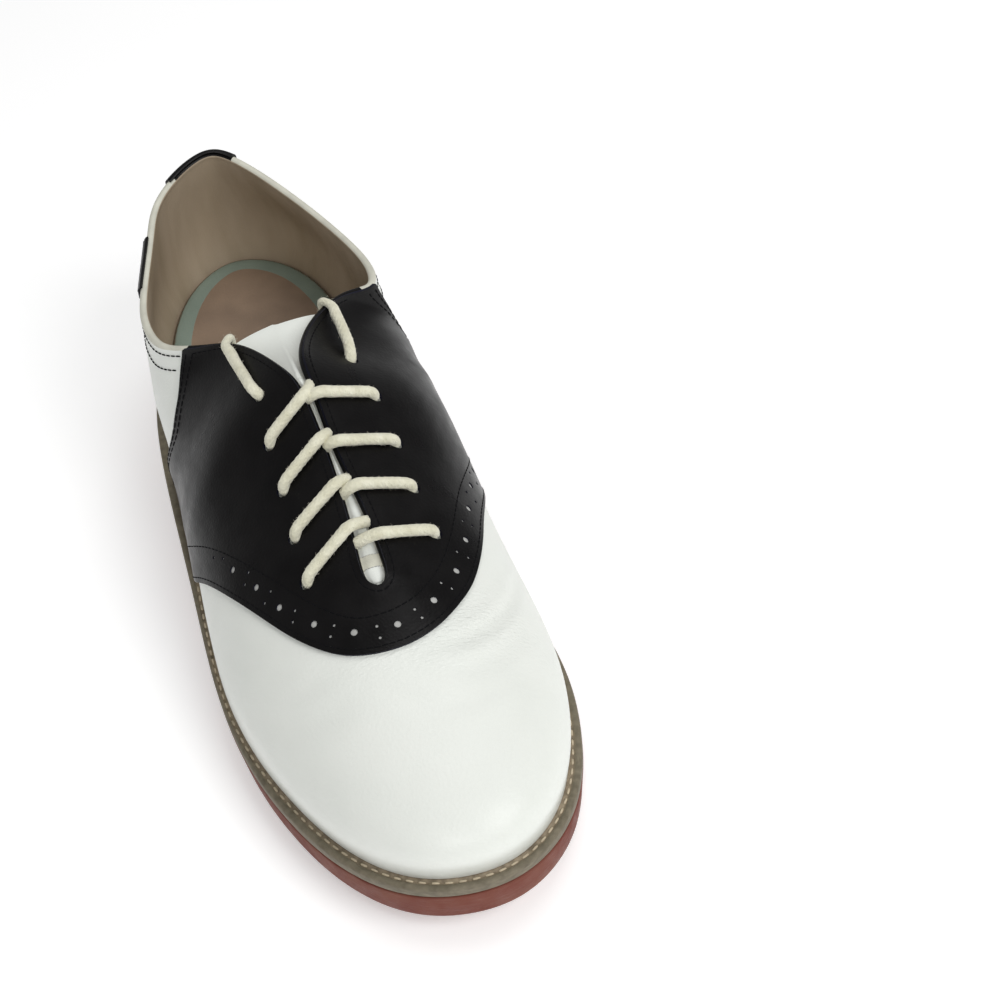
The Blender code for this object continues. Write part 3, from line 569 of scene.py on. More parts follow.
def welt_strip():
    """Taupe welting, lighter beside the upper, where the seam lies in a shallow channel."""
    look = Finish("taupe_welt", (0.24, 0.20, 0.14), 0.62)
    fibres = look.noise(1.0, 4, look.stretched((400, 400, 900)))
    outer = look.mix(look.spread(fibres, 0.3, 0.7), (0.21, 0.18, 0.125), (0.13, 0.11, 0.072))
    inner = look.mix(look.spread(look.noise(500, 3), 0.3, 0.7), (0.36, 0.29, 0.20), (0.16, 0.125, 0.08))
    look.color(look.mix(look.spread(look.from_edge(), 0.0016, 0.0026), outer, inner))
    look.bump((fibres, 0.00022), (look.noise(1500, 2), 0.0001))
    return look.made


def brick_rubber():
    look = Finish("brick_rubber", (0.16, 0.036, 0.022), 0.62, specular_ior_level=0.3)
    dust = look.spread(look.noise(55, 5), 0.42, 0.72)
    look.color(look.mix(dust, (0.165, 0.042, 0.027), (0.21, 0.078, 0.052)))
    look.roughness(look.spread(look.noise(200, 3), 0.3, 0.7, 0.52, 0.75))
    look.bump((look.noise(1.0, 3, look.stretched((90, 90, 900))), 0.0002), (look.noise(1800, 3), 0.0001))
    return look.made


def cotton_lace():
    look = Finish("cream_cotton", (0.72, 0.67, 0.53), 0.9, sheen_weight=0.35, sheen_roughness=0.6)
    look.color(look.mix(look.spread(look.noise(260, 4), 0.3, 0.72), (0.82, 0.80, 0.64), (0.66, 0.635, 0.47)))
    look.bump((look.noise(2600, 4), 0.00022), (look.cells(1900), 0.00012))
    return look.made


WHITE = white_leather()
BLACK = black_leather()
RIM = plain("cream_rim", (0.70, 0.69, 0.59), 0.5, 0.00005)
LINING = lining_leather()
NAVY_EDGE = plain("navy_cut_edge", (0.008, 0.008, 0.020), 0.7, 0.00006, specular_ior_level=0.2)
PALE_EDGE = plain("pale_edge", (0.42, 0.36, 0.31), 0.7, 0.00006)
# Grey painted shade for the bottom of the brogue holes; the same grey is also the tongue tape's thread colour.
HOLE_SHADE_AND_THREAD_GREY = plain("hole_shade_and_thread_grey", (0.50, 0.50, 0.48), 0.7)
SOCK = sock_leather()
WELTING = welt_strip()
RUBBER = brick_rubber()
COTTON = cotton_lace()
LACE_FUZZ = plain("lace_fuzz", (0.78, 0.74, 0.62), 0.9)
BLACK_THREAD = plain("black_thread", (0.004, 0.004, 0.005), 0.7, 0.00008, 2500, specular_ior_level=0.1)
BEIGE_THREAD = plain("beige_thread", (0.66, 0.56, 0.40), 0.75, 0.00008, 2500)
TAPE = plain("cream_tape", (0.70, 0.69, 0.58), 0.75, 0.0001, 1800)


# Meshes from arrays


def show(piece, slot, *nodes):
    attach(piece, "root")
    if nodes:
        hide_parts(*nodes)
    return piece


def pick(*pieces):
    """Selects pieces alone and makes the first one active."""
    bpy.ops.object.select_all(action="DESELECT")
    for piece in pieces:
        piece.select_set(True)
    bpy.context.view_layer.objects.active = pieces[0]


def corner_points(mesh):
    """The point number of each face corner."""
    corners = np.empty(len(mesh.loops), np.int32)
    mesh.loops.foreach_get("vertex_index", corners)
    return corners


def add_piece(name, points, faces, looks, face_looks=None, uv=None, marks=None, sharp=40):
    """A mesh object at the origin; uv has a pair for each point, marks are named values for each point."""
    mesh = bpy.data.meshes.new(name)
    mesh.from_pydata(np.asarray(points).tolist(), [], [list(map(int, face)) for face in faces])
    for look in looks:
        mesh.materials.append(look)
    if face_looks is not None:
        mesh.polygons.foreach_set("material_index", np.asarray(face_looks, np.int32))
    if uv is not None:
        corners = np.asarray(uv, float)[corner_points(mesh)]
        mesh.uv_layers.new(name="map").data.foreach_set("uv", corners.ravel())
    for key, values in (marks or {}).items():
        mesh.attributes.new(key, "FLOAT", "POINT").data.foreach_set("value", np.asarray(values, np.float32))
    mesh.shade_smooth()
    mesh.set_sharp_from_angle(angle=math.radians(sharp))
    piece = bpy.data.objects.new(name, mesh)
    bpy.context.scene.collection.objects.link(piece)
    return piece


def quads(rows, columns, closed_rows=False, closed_columns=False):
    """Faces of a grid whose points are listed row by row."""
    i = np.arange(rows if closed_rows else rows - 1)[:, None]
    j = np.arange(columns if closed_columns else columns - 1)[None, :]
    below = (i + 1) % rows * columns
    right = (j + 1) % columns
    return np.stack([i * columns + j, below + j, below + right, i * columns + right], -1).reshape(-1, 4)


def unit(vectors):
    return vectors / np.maximum(np.linalg.norm(vectors, axis=-1), 1e-12)[..., None]


def ring_of(place):
    return np.mod(-np.asarray(place, float), 2)


def place_of(ring):
    ring = np.mod(ring, 2)
    return np.where(ring <= 1, -ring, 2 - ring)


def rib_length(ring):
    ring = np.atleast_1d(ring)
    way = last_point(ring[:, None], np.linspace(0, 1, 25)[None, :])
    return np.linalg.norm(np.diff(way, axis=1), axis=-1).sum(axis=1)


def below_top(ring, distance):
    """The rise at a distance down the rib from the topline."""
    return 1 - np.asarray(distance) / rib_length(ring)


# Creases and dips of the leather: soft troughs with a low ridge on both sides, laid between two places.
CREASES = [
    # place, rise, to place, rise, half width mm, depth mm
    (0.075, 0.735, 0.270, 0.470, 1.7, 0.30),
    (0.110, 0.700, 0.300, 0.380, 2.2, 0.38),
    (0.000, 0.690, 0.235, 0.410, 2.6, 0.34),
    (-0.060, 0.640, 0.160, 0.450, 3.0, 0.26),
    (0.200, 0.560, 0.330, 0.300, 1.6, 0.30),
    (-0.200, 0.600, -0.330, 0.330, 3.2, 0.30),
    (-0.250, 0.560, -0.360, 0.300, 2.2, 0.24),
    (-0.130, 0.600, -0.280, 0.300, 3.6, 0.22),
    (-0.560, 0.700, -0.640, 0.300, 4.5, 0.40),
    (-0.520, 0.560, -0.600, 0.120, 5.0, 0.35),
    (0.540, 0.700, 0.620, 0.250, 4.5, 0.40),
    (-0.740, 0.720, -0.700, 0.220, 4.0, 0.40),
    (0.760, 0.700, 0.720, 0.250, 4.0, 0.40),
    (-0.860, 0.620, -0.800, 0.200, 5.0, 0.35),
]


def relief(points):
    """How far the leather stands off the last: creases, and the dimples of its hand-pulled shape."""
    height = np.zeros(points.shape[:-1])
    for place, low, other_place, high, width, depth in CREASES:
        t = np.linspace(0, 1, 14)
        bow = np.sin(t * math.pi) * 0.012
        way = last_point(ring_of(place + (other_place - place) * t + bow), low + (high - low) * t)
        near = np.full(points.shape[:-1], np.inf)
        share = np.zeros(points.shape[:-1])
        for k in range(len(way) - 1):
            span = way[k + 1] - way[k]
            along = np.clip(((points - way[k]) @ span) / (span @ span), 0, 1)
            away = np.linalg.norm(points - way[k] - along[..., None] * span, axis=-1)
            share = np.where(away < near, (k + along) / (len(way) - 1), share)
            near = np.minimum(near, away)
        across = near / (width * MM)
        fade = np.sin(np.clip(share, 0.02, 0.98) * math.pi) ** 0.6
        height -= depth * MM * fade * (np.exp(-across**2) - 0.55 * np.exp(-((across - 1.9) / 0.9) ** 2))
    return height


def flex(points):
    """Where the vamp bends in walking and shows fine lines, from 0 to 1."""
    middle = np.array([18, -78, 50]) * MM
    return np.exp(-(((points - middle) / (np.array([30, 13, 22]) * MM)) ** 2).sum(axis=-1)) * 0.9


def on_leather(ring, rise, height):
    """Points at a height over the leather's own relief."""
    base = last_point(ring, rise)
    normal = last_normal(ring, rise)
    return base + normal * (relief(base) + height)[..., None], normal


# The upper

OUTER_ROWS = 70
RIM_ROWS = 8
INNER_ROWS = 40
UPPER_SIDE = 190
HEEL_MIDDLE = -0.992
HEEL_TAB = 0.044            # half its length round the collar, as ring number
FACINGS = (-0.637, 0.655)   # places where the black facings end
COLLAR_FROM = 0.655         # place, on both sides, where the rim begins to swell into the rolled collar


def fine_rings(count):
    places = np.linspace(0, 1, 600)
    sides = []
    for ring in (places, 2 - places):
        top = RIB(ring)[..., 0]
        top = top if ring[0] == 0 else 2 - top
        measure = 0.6 * places + 0.4 * top
        sides.append(np.interp(np.linspace(0, 1, count + 1), measure, places))
    return np.concatenate([sides[0], 2 - sides[1][-2:0:-1]])


RIM_RINGS = np.linspace(0, 2, 401)
RIM_LENGTHS = rib_length(RIM_RINGS)


def top_rise(ring):
    """The rise where the leather's rounded edge starts, so that it ends at the topline."""
    return 1 - WALL / 2 / np.interp(np.mod(ring, 2), RIM_RINGS, RIM_LENGTHS)


def collar_share(ring):
    """0 along the facings, 1 along the rolled collar."""
    return np.clip((np.abs(place_of(ring)) - COLLAR_FROM) / 0.03, 0, 1)


def rim_arc(ring, turn, grow=0.0):
    """Points round the upper's top edge; turn goes from 0 on the outside to pi on the inside."""
    top = last_point(ring, top_rise(ring))
    normal = last_normal(ring, 1.0)
    beyond = unit(last_point(ring, 1.0) - last_point(ring, 0.985))
    roll = 1 + 0.25 * collar_share(ring)
    radius = WALL / 2
    middle = top - normal * radius
    spread = (radius * roll + grow)[..., None]
    return middle + normal * np.cos(turn)[..., None] * spread + beyond * np.sin(turn)[..., None] * spread


def add_upper():
    ring = fine_rings(UPPER_SIDE)[:, None]
    share = np.linspace(0, 1, OUTER_ROWS)[None, :]
    rise = share * top_rise(ring)
    outer, _ = on_leather(ring, rise, 0.0)
    grown = np.clip((share[0] - 0.94) / 0.06, 0, 1) ** 2
    outer += last_normal(ring, rise) * (WALL * 0.125 * grown[None, :] * collar_share(ring))[..., None]
    turn = np.linspace(0, math.pi, RIM_ROWS + 2)[1:-1][None, :]
    rim = rim_arc(*np.broadcast_arrays(ring, turn))
    down = np.linspace(1, 0, INNER_ROWS)[None, :] * top_rise(ring)
    inner = lifted(ring, down, -WALL)
    points = np.concatenate([outer, rim, inner], axis=1)
    count, width = points.shape[:2]
    faces = quads(count, width, closed_rows=True, closed_columns=True)[:, ::-1]
    column = np.tile(np.arange(width), count)
    place = np.repeat(place_of(ring[:, 0]), width)
    finishes = [WHITE, RIM, LINING, BLACK, PALE_EDGE]
    looks = np.zeros(len(faces), int)
    middle_of_rim = OUTER_ROWS + RIM_ROWS // 2
    looks[column >= OUTER_ROWS - 1] = finishes.index(RIM)
    looks[column >= OUTER_ROWS + 6] = finishes.index(LINING)
    facing = (place > FACINGS[0]) & (place < FACINGS[1])
    looks[(column >= OUTER_ROWS - 7) & (column < middle_of_rim + 1) & facing] = finishes.index(BLACK)
    tab = np.abs(np.mod(place - HEEL_MIDDLE + 1, 2) - 1) < HEEL_TAB * 0.96
    looks[(column >= OUTER_ROWS - 1) & (column < OUTER_ROWS + 6) & tab] = finishes.index(BLACK)
    pale = (column >= middle_of_rim + 1) & (column < OUTER_ROWS + RIM_ROWS + 3) & facing
    looks[pale] = finishes.index(PALE_EDGE)
    flat = points.reshape(-1, 3)
    height = flat[:, 2] - welt_top(flat[:, 1])
    # Grows towards the welt: partly dirt, partly painted shade in the corner between upper and welt.
    soil_and_shade = 0.55 * np.exp(-np.maximum(height, 0) / 0.0022)
    marks = {"soil_and_shade": soil_and_shade, "flex": flex(flat)}
    upper = add_piece("upper_shell", flat, faces, finishes, looks, marks=marks, sharp=75)
    punch_eyelets(upper)
    return show(upper, "white_leather", "upper")


def eyelet_spots():
    for lateral, lateral_rise, medial, medial_rise in EYELETS:
        yield lateral, lateral_rise
        yield 2 - medial, medial_rise


def punch_eyelets(piece):
    """Cuts the ten lace holes with one joined cutter."""
    bpy.ops.object.select_all(action="DESELECT")
    punches = []
    for ring, rise in eyelet_spots():
        axis = Vector(last_normal(ring, rise))
        bpy.ops.mesh.primitive_cylinder_add(vertices=24, radius=EYELET_DIAMETER / 2, depth=0.010,
                                            location=Vector(last_point(ring, rise)),
                                            rotation=axis.to_track_quat("Z", "Y").to_euler())
        punches.append(bpy.context.object)
    pick(*punches)
    bpy.ops.object.join()
    cutter = bpy.context.object
    cut = piece.modifiers.new("eyelets", "BOOLEAN")
    cut.operation = "DIFFERENCE"
    cut.solver = "EXACT"
    cut.object = cutter
    pick(piece)
    bpy.ops.object.modifier_apply(modifier="eyelets")
    bpy.data.objects.remove(cutter, do_unlink=True)


# Cut leather laid on the last

PLACE_SCALE = 0.250     # metres of pattern for one ring number
RISE_SCALE = 0.085      # metres of pattern from feather to topline
SIDE_SCALE = 0.33       # metres round the shoe's side for one ring number, by the saddle's back edges
EDGE_DROP = 0.0003      # how far a cut edge is rounded off


def inside(points, loop):
    """Which flat points lie inside a closed loop."""
    a, b = loop, np.roll(loop, -1, axis=0)
    x, y = points[:, 0][:, None], points[:, 1][:, None]
    crosses = (a[:, 1] > y) != (b[:, 1] > y)
    with np.errstate(divide="ignore", invalid="ignore"):
        at = (b[:, 0] - a[:, 0]) * (y - a[:, 1]) / (b[:, 1] - a[:, 1]) + a[:, 0]
    return (crosses & (x < at)).sum(axis=1) % 2 == 1


def on_last(pattern):
    """Ring number and rise of pattern coordinates."""
    return ring_of(pattern[:, 0] / PLACE_SCALE), np.clip(pattern[:, 1] / RISE_SCALE, 0, 1)


def surface_steps(pattern):
    """The change of place on the last for one metre of pattern each way, and the normal."""
    ring, rise = ring_of(pattern[:, 0] / PLACE_SCALE), pattern[:, 1] / RISE_SCALE
    step = 0.002
    sideways = (last_point(ring_of(pattern[:, 0] / PLACE_SCALE + step), rise)
                - last_point(ring_of(pattern[:, 0] / PLACE_SCALE - step), rise)) / (2 * step * PLACE_SCALE)
    low, high = np.maximum(rise - step, 0), np.minimum(rise + step, 1)
    upward = (last_point(ring, high) - last_point(ring, low)) / ((high - low) * RISE_SCALE)[:, None]
    return sideways, upward, last_normal(ring, rise)


def pattern_shift(pattern, shift):
    """Pattern coordinates moved by a small shift in space."""
    sideways, upward, _ = surface_steps(pattern)
    matrix = np.stack([sideways, upward], -1)
    return pattern + np.einsum("nij,nj->ni", np.linalg.pinv(matrix), shift)


def spaced(loop, spacing):
    """A closed pattern loop with even spacing on the last's surface."""
    closed = np.vstack([loop, loop[:1]])
    fine = np.concatenate([a + (b - a) * np.linspace(0, 1, 12, endpoint=False)[:, None]
                           for a, b in zip(closed[:-1], closed[1:])] + [closed[-1:]])
    length = distances(last_point(*on_last(fine)))
    count = max(8, int(length[-1] / spacing))
    at = np.linspace(0, length[-1], count, endpoint=False)
    return between(at, length, fine)


def inset_loop(loop, distance):
    """A loop moved inwards on the surface by a distance."""
    solid = last_point(*on_last(loop))
    along = unit(np.roll(solid, -1, axis=0) - np.roll(solid, 1, axis=0))
    _, _, normal = surface_steps(loop)
    turn = np.sum(loop[:, 0] * np.roll(loop[:, 1], -1) - np.roll(loop[:, 0], -1) * loop[:, 1])
    inward = np.cross(normal, along) * (1 if turn > 0 else -1)
    moved = pattern_shift(loop, inward * distance)
    if (inside(moved, loop)).mean() < 0.5:
        moved = pattern_shift(loop, -inward * distance)
    return moved


def circle(side, other, count):
    """Directions all round, from two that are square to each other."""
    turn = 2 * math.pi * np.arange(count)[:, None] / count
    return np.cos(turn) * side + np.sin(turn) * other


def circle_loop(place, rise, radius, count):
    middle = np.array([[place * PLACE_SCALE, rise * RISE_SCALE]])
    sideways, _, normal = surface_steps(middle)
    side = unit(sideways)[0]
    shift = radius * circle(side, np.cross(normal[0], side), count)
    return pattern_shift(np.repeat(middle, count, axis=0), shift)


def leather_sheet(name, outline, holes, base, thickness, looks, spacing=0.0013):
    """Leather cut to a pattern, with holes, laid on the last and given its thickness; its cut edges are soft.

    outline is (place, rise) rows, holes are (place, rise, radius) rows.
    """
    rim = spaced(np.array([(place * PLACE_SCALE, rise * RISE_SCALE) for place, rise in outline]), 0.0008)
    soft = inset_loop(rim, 0.0005)
    loops = [rim]
    extra = [soft]
    for place, rise, radius in holes:
        count = 18 if radius > 0.0007 else 10
        loops.append(circle_loop(place, rise, radius, count))
        extra.append(circle_loop(place, rise, radius + 0.0004, count))
    low, high = rim.min(axis=0), rim.max(axis=0)
    u, v = np.meshgrid(np.arange(low[0], high[0], spacing), np.arange(low[1], high[1], spacing))
    u = u + (np.arange(v.shape[0]) % 2)[:, None] * spacing / 2
    inner = np.stack([u.ravel(), v.ravel()], -1)
    inner = inner[inside(inner, soft)]
    for loop in extra[1:]:
        near = np.linalg.norm(inner - loop.mean(axis=0), axis=1) < 0.008
        keep = np.ones(len(inner), bool)
        keep[near] = ~inside(inner[near], loop)
        inner = inner[keep]
    taken = np.concatenate(loops + extra)
    for chunk in np.array_split(np.arange(len(taken)), max(1, len(taken) // 200)):
        apart = np.linalg.norm(inner[:, None] - taken[chunk][None], axis=2).min(axis=1)
        inner = inner[apart > spacing * 0.35]
    points = np.concatenate(loops + extra + [inner])
    edges = []
    start = 0
    for loop in loops:
        count = len(loop)
        edges += [(start + i, start + (i + 1) % count) for i in range(count)]
        start += count
    corners = [Vector(point) for point in points.tolist()]
    flat, _, triangles, *_ = geometry.delaunay_2d_cdt(corners, edges, [], 0, 1e-7)
    flat = np.array([p[:] for p in flat])
    triangles = np.array([t for t in triangles if len(t) == 3])
    middles = flat[triangles].mean(axis=1)
    keep = inside(middles, rim)
    for loop in loops[1:]:
        near = np.linalg.norm(middles - loop.mean(axis=0), axis=1) < 0.006
        keep[near] &= ~inside(middles[near], loop)
    triangles = triangles[keep]
    a, b, c = flat[triangles[:, 0]], flat[triangles[:, 1]], flat[triangles[:, 2]]
    turn = (b[:, 0] - a[:, 0]) * (c[:, 1] - a[:, 1]) - (b[:, 1] - a[:, 1]) * (c[:, 0] - a[:, 0])
    triangles[turn < 0] = triangles[turn < 0][:, ::-1]
    sides = np.concatenate([triangles[:, [0, 1]], triangles[:, [1, 2]], triangles[:, [2, 0]]])
    key = {tuple(side) for side in sides.tolist()}
    border = np.array([side for side in key if (side[1], side[0]) not in key])
    on_edge = np.zeros(len(flat))
    on_edge[border.ravel()] = 0.35
    rim_keys = {tuple(row) for row in np.round(rim, 6).tolist()}
    on_rim = np.array([tuple(row) in rim_keys for row in np.round(flat, 6).tolist()])
    on_edge[on_rim] = 1.0
    ring, rise = on_last(flat)
    top, top_normal = on_leather(ring, rise, base + thickness - on_edge * EDGE_DROP)
    bottom, _ = on_leather(ring, rise, np.full(len(flat), base))
    count = len(flat)
    walls = np.stack([border[:, 1], border[:, 0], border[:, 0] + count, border[:, 1] + count], -1)
    faces = list(triangles) + list(triangles[:, ::-1] + count) + list(walls)
    face_looks = np.concatenate([np.zeros(len(triangles)), np.ones(len(triangles) + len(walls))]).astype(int)
    used = np.unique(np.concatenate([triangles.ravel(), triangles.ravel() + count]))
    renumber = np.full(count * 2, -1)
    renumber[used] = np.arange(len(used))
    solid = np.concatenate([top, bottom])[used]
    faces = [renumber[np.asarray(face)] for face in faces]
    piece = add_piece(name, solid, faces, looks, face_looks, sharp=55)
    smooth = np.concatenate([top_normal, -top_normal])[used]
    mesh = piece.data
    shade = np.empty(len(mesh.loops) * 3, np.float32)
    mesh.corner_normals.foreach_get("vector", shade)
    shade = shade.reshape(-1, 3)
    faced = 3 * 2 * len(triangles)
    shade[:faced] = smooth[corner_points(mesh)[:faced]]
    mesh.normals_split_custom_set(shade.tolist())
    return piece


# The saddle

SADDLE_BASE = 0.0001
SADDLE_THICK = 0.0013
FRONT_EDGE = [
    # place, rise
    (-0.535, 0.000), (-0.490, 0.120), (-0.437, 0.310), (-0.394, 0.422), (-0.341, 0.530), (-0.268, 0.642),
    (-0.222, 0.684), (-0.173, 0.718), (-0.109, 0.757), (-0.036, 0.785), (0.046, 0.786), (0.142, 0.750),
    (0.231, 0.682), (0.293, 0.595), (0.347, 0.500), (0.388, 0.420), (0.450, 0.250), (0.490, 0.130),
    (0.530, 0.000),
]
front_edge = natural_spline([row[0] for row in FRONT_EDGE], [row[1] for row in FRONT_EDGE])
BACK_EDGE = [
    # rise, lateral place, medial place
    (0.00, -0.640, 0.638),
    (0.25, -0.614, 0.640),
    (0.50, -0.605, 0.645),
    (0.70, -0.624, 0.660),
    (0.85, -0.637, 0.665),
    (1.00, -0.642, 0.667),
]
back_rows = np.array(BACK_EDGE)
lateral_back = natural_spline(back_rows[:, 0], back_rows[:, 1])
medial_back = natural_spline(back_rows[:, 0], back_rows[:, 2])

BIG_HOLES = [
    # place, rise
    (-0.403, 0.500), (-0.364, 0.571), (-0.325, 0.629), (-0.267, 0.725), (-0.162, 0.808), (0.007, 0.858),
    (0.183, 0.804), (0.279, 0.700), (0.332, 0.608), (0.379, 0.525), (0.417, 0.450), (0.450, 0.365),
    (0.484, 0.270),
]
BIG_RADIUS = 0.00100
SMALL_HOLES = [
    (-0.436, 0.429), (-0.423, 0.475), (-0.384, 0.562), (-0.378, 0.529), (-0.347, 0.621), (-0.343, 0.579),
    (-0.306, 0.683), (-0.298, 0.654), (-0.227, 0.783), (-0.222, 0.742), (-0.077, 0.858), (-0.068, 0.821),
    (0.104, 0.858), (0.100, 0.822), (0.242, 0.779), (0.238, 0.735), (0.311, 0.671), (0.307, 0.625),
    (0.357, 0.588), (0.355, 0.546), (0.402, 0.500), (0.395, 0.462), (0.437, 0.420), (0.430, 0.385),
    (0.470, 0.330), (0.464, 0.295),
]
SMALL_RADIUS = 0.00045


def brogue_holes():
    """The row along the front edge: large holes with a pair of small ones between each two."""
    return [(*row, BIG_RADIUS) for row in BIG_HOLES] + [(*row, SMALL_RADIUS) for row in SMALL_HOLES]


def saddle_outline():
    rows = []
    for rise in np.linspace(0.004, 0.996, 40):
        rows.append((float(lateral_back(rise)), rise))
    for place in np.linspace(float(lateral_back(1.0)), float(medial_back(1.0)), 240)[1:-1]:
        rows.append((place, 0.997))
    for rise in np.linspace(0.996, 0.004, 40):
        rows.append((float(medial_back(rise)), rise))
    for place in np.linspace(FRONT_EDGE[-1][0], FRONT_EDGE[0][0], 120):
        rows.append((place, max(0.004, float(front_edge(place)))))
    return rows


def add_saddle():
    eyelets = [(float(place_of(ring)), rise, EYELET_DIAMETER / 2) for ring, rise in eyelet_spots()]
    holes = brogue_holes() + eyelets
    saddle = leather_sheet("black_saddle", saddle_outline(), holes, SADDLE_BASE, SADDLE_THICK, [BLACK, NAVY_EDGE])
    add_hole_shade_discs()
    return show(saddle, "black_leather", "saddle")


def add_hole_shade_discs():
    """The white leather at the bottom of the brogue holes, as one low disc in each, painted grey as the shade in
    the holes.
    """
    around = 16
    steps = ((0.0002, 1.1), (0.00085, 1.1), (0.00095, 0.6))
    points, faces = [], []
    for place, rise, radius in brogue_holes():
        middle, normal = on_leather(ring_of(np.array([place])), np.array([rise]), 0.0)
        side = unit(np.cross(normal[0], [0.2, 1.0, 0.1]))
        rim = circle(side, np.cross(normal[0], side), around)
        base = len(points) * around
        points += [middle[0] + normal[0] * height + rim * radius * wide for height, wide in steps]
        faces.append([base + i for i in range(around - 1, -1, -1)])
        faces.append([base + around * (len(steps) - 1) + i for i in range(around)])
        faces.extend(quads(len(steps), around, closed_columns=True)[:, ::-1] + base)
    show(add_piece("hole_shade_discs", np.concatenate(points), faces, [HOLE_SHADE_AND_THREAD_GREY]), "white_leather")


# Thread


def stitch_shape():
    """One stitch, a short rounded thread along X, unit length and unit radius, as points and faces."""
    bpy.ops.object.select_all(action="DESELECT")
    bpy.ops.mesh.primitive_uv_sphere_add(segments=6, ring_count=6, radius=1, rotation=(0, math.pi / 2, 0))
    ball = bpy.context.object
    bpy.ops.object.transform_apply(location=False, rotation=True, scale=False)
    points = np.array([vertex.co[:] for vertex in ball.data.vertices])
    faces = [list(face.vertices) for face in ball.data.polygons]
    bpy.data.objects.remove(ball, do_unlink=True)
    points[:, 0] = np.sign(points[:, 0]) * np.abs(points[:, 0]) ** 0.6 * 0.5
    return points, faces


STITCH_POINTS, STITCH_FACES = stitch_shape()

# Pitch, length and radius of the stitches
COLLAR_STITCH = (0.0022, 0.0019, 0.00026)
BACK_STITCH = (0.0022, 0.0019, 0.00024)
TAB_STITCH = (0.0022, 0.0018, 0.00024)
FINE_STITCH = (0.0021, 0.0018, 0.00022)
TAPE_STITCH = (0.0009, 0.0008, 0.00015)
WELT_STITCH = (0.0036, 0.0022, 0.00038)


def evenly_along(way, pitch, closed=False):
    """Middles, directions and shares of equal steps along a way."""
    way = np.vstack([way, way[:1]]) if closed else way
    length = distances(way)
    count = max(1, int(round(length[-1] / pitch)))
    at = (np.arange(count) + 0.5) / count * length[-1]
    along = unit(between(at + pitch / 4, length, way) - between(at - pitch / 4, length, way))
    return between(at, length, way), along, at / length[-1]


def add_stitches(name, way, normals, size, look=BLACK_THREAD, slot="black_leather", closed=False):
    """A seam of separate stitches, half sunk in the leather; size is pitch, length and radius."""
    pitch, length, radius = size
    middle, along, share = evenly_along(way, pitch, closed)
    normal = between(share, np.linspace(0, 1, len(normals)), normals)
    normal = unit(normal - along * (normal * along).sum(-1)[:, None])
    across = np.cross(normal, along)
    points, faces = [], []
    for k in range(len(middle)):
        slant = random.uniform(-0.05, 0.05)
        forward = along[k] * math.cos(slant) + across[k] * math.sin(slant)
        side = np.cross(normal[k], forward)
        shape = (STITCH_POINTS[:, :1] * forward * length * random.uniform(0.94, 1.04)
                 + STITCH_POINTS[:, 1:2] * side * radius + STITCH_POINTS[:, 2:3] * normal[k] * radius)
        base = len(points) * len(STITCH_POINTS)
        points.append(middle[k] + shape)
        faces.extend([[base + i for i in face] for face in STITCH_FACES])
    return show(add_piece(name, np.concatenate(points), faces, [look], sharp=80), slot)


def surface_way(places, rises, height):
    """Points and normals at a height over the leather."""
    return on_leather(ring_of(places), np.asarray(rises, float), height)


def add_seams():
    top = SADDLE_BASE + SADDLE_THICK
    for number, depth in ((1, 0.0032), (2, 0.0085)):
        place = np.concatenate([np.linspace(-0.644, -1.0, 90), np.linspace(0.999, 0.668, 90)])
        way, normals = surface_way(place, below_top(ring_of(place), depth), 0.0001)
        add_stitches(f"collar_seam_{number}", way, normals, COLLAR_STITCH)
    for side, edge, sign in (("lateral", lateral_back, 1), ("medial", medial_back, -1)):
        for number, inset in ((1, 0.0016), (2, 0.0040)):
            rise = np.linspace(0.03, 0.965, 60)
            place = edge(rise) + sign * inset / SIDE_SCALE
            way, normals = surface_way(place, rise, top)
            add_stitches(f"saddle_back_seam_{side}_{number}", way, normals, BACK_STITCH)
    place = np.linspace(FRONT_EDGE[-1][0] - 0.03, FRONT_EDGE[0][0] + 0.03, 200)
    edge = np.stack([place * PLACE_SCALE, front_edge(place) * RISE_SCALE], -1)
    for number, inset in ((1, 0.0015), (2, 0.0105)):
        moved = shift_edge(edge, inset)
        rise = np.clip(moved[:, 1] / RISE_SCALE, 0.02, 0.995)
        way, normals = surface_way(moved[:, 0] / PLACE_SCALE, rise, top)
        add_stitches(f"saddle_front_seam_{number}", way, normals, FINE_STITCH)
    place = np.linspace(-0.63, 0.63, 320)
    way, normals = surface_way(place, below_top(ring_of(place), 0.0021), top)
    add_stitches("facing_seam", way, normals, FINE_STITCH)


def shift_edge(edge, distance):
    """The saddle's front edge moved into the saddle by a distance."""
    along = unit(np.gradient(last_point(*on_last(edge)), axis=0))
    _, upward, normal = surface_steps(edge)
    inward = np.cross(normal, along)
    inward *= np.sign((inward * upward).sum(-1))[:, None]
    return pattern_shift(edge, inward * distance)


# Tabs


TAB_THICK = 0.0010


def tab_edge(t, half, start, depth):
    """A point of a curved tab's edge, as place and rise; t goes from one end to the other."""
    turn = math.pi * t
    place = HEEL_MIDDLE + half * math.cos(turn) * (1 - 0.22 * math.sin(turn))
    return place, start - depth * math.sin(turn) ** 0.6


def add_heel_tab():
    """A black tab folded over the collar at the back of the heel."""
    outline = [tab_edge(t, HEEL_TAB, 0.985, 0.40) for t in np.linspace(0, 1, 24)]
    sheet = leather_sheet("heel_tab", outline, [], SADDLE_BASE, TAB_THICK, [BLACK, NAVY_EDGE])
    show(sheet, "black_leather")
    ring = np.linspace(-HEEL_MIDDLE - HEEL_TAB, -HEEL_MIDDLE + HEEL_TAB, 60)[:, None]
    fold_over("heel_tab_fold", ring, 1.85)
    seam = np.array([tab_edge(t, HEEL_TAB - 0.006, 0.975, 0.365) for t in np.linspace(0.02, 0.98, 60)])
    way, normals = surface_way(seam[:, 0], seam[:, 1], SADDLE_BASE + TAB_THICK)
    add_stitches("heel_tab_seam", way, normals, TAB_STITCH)


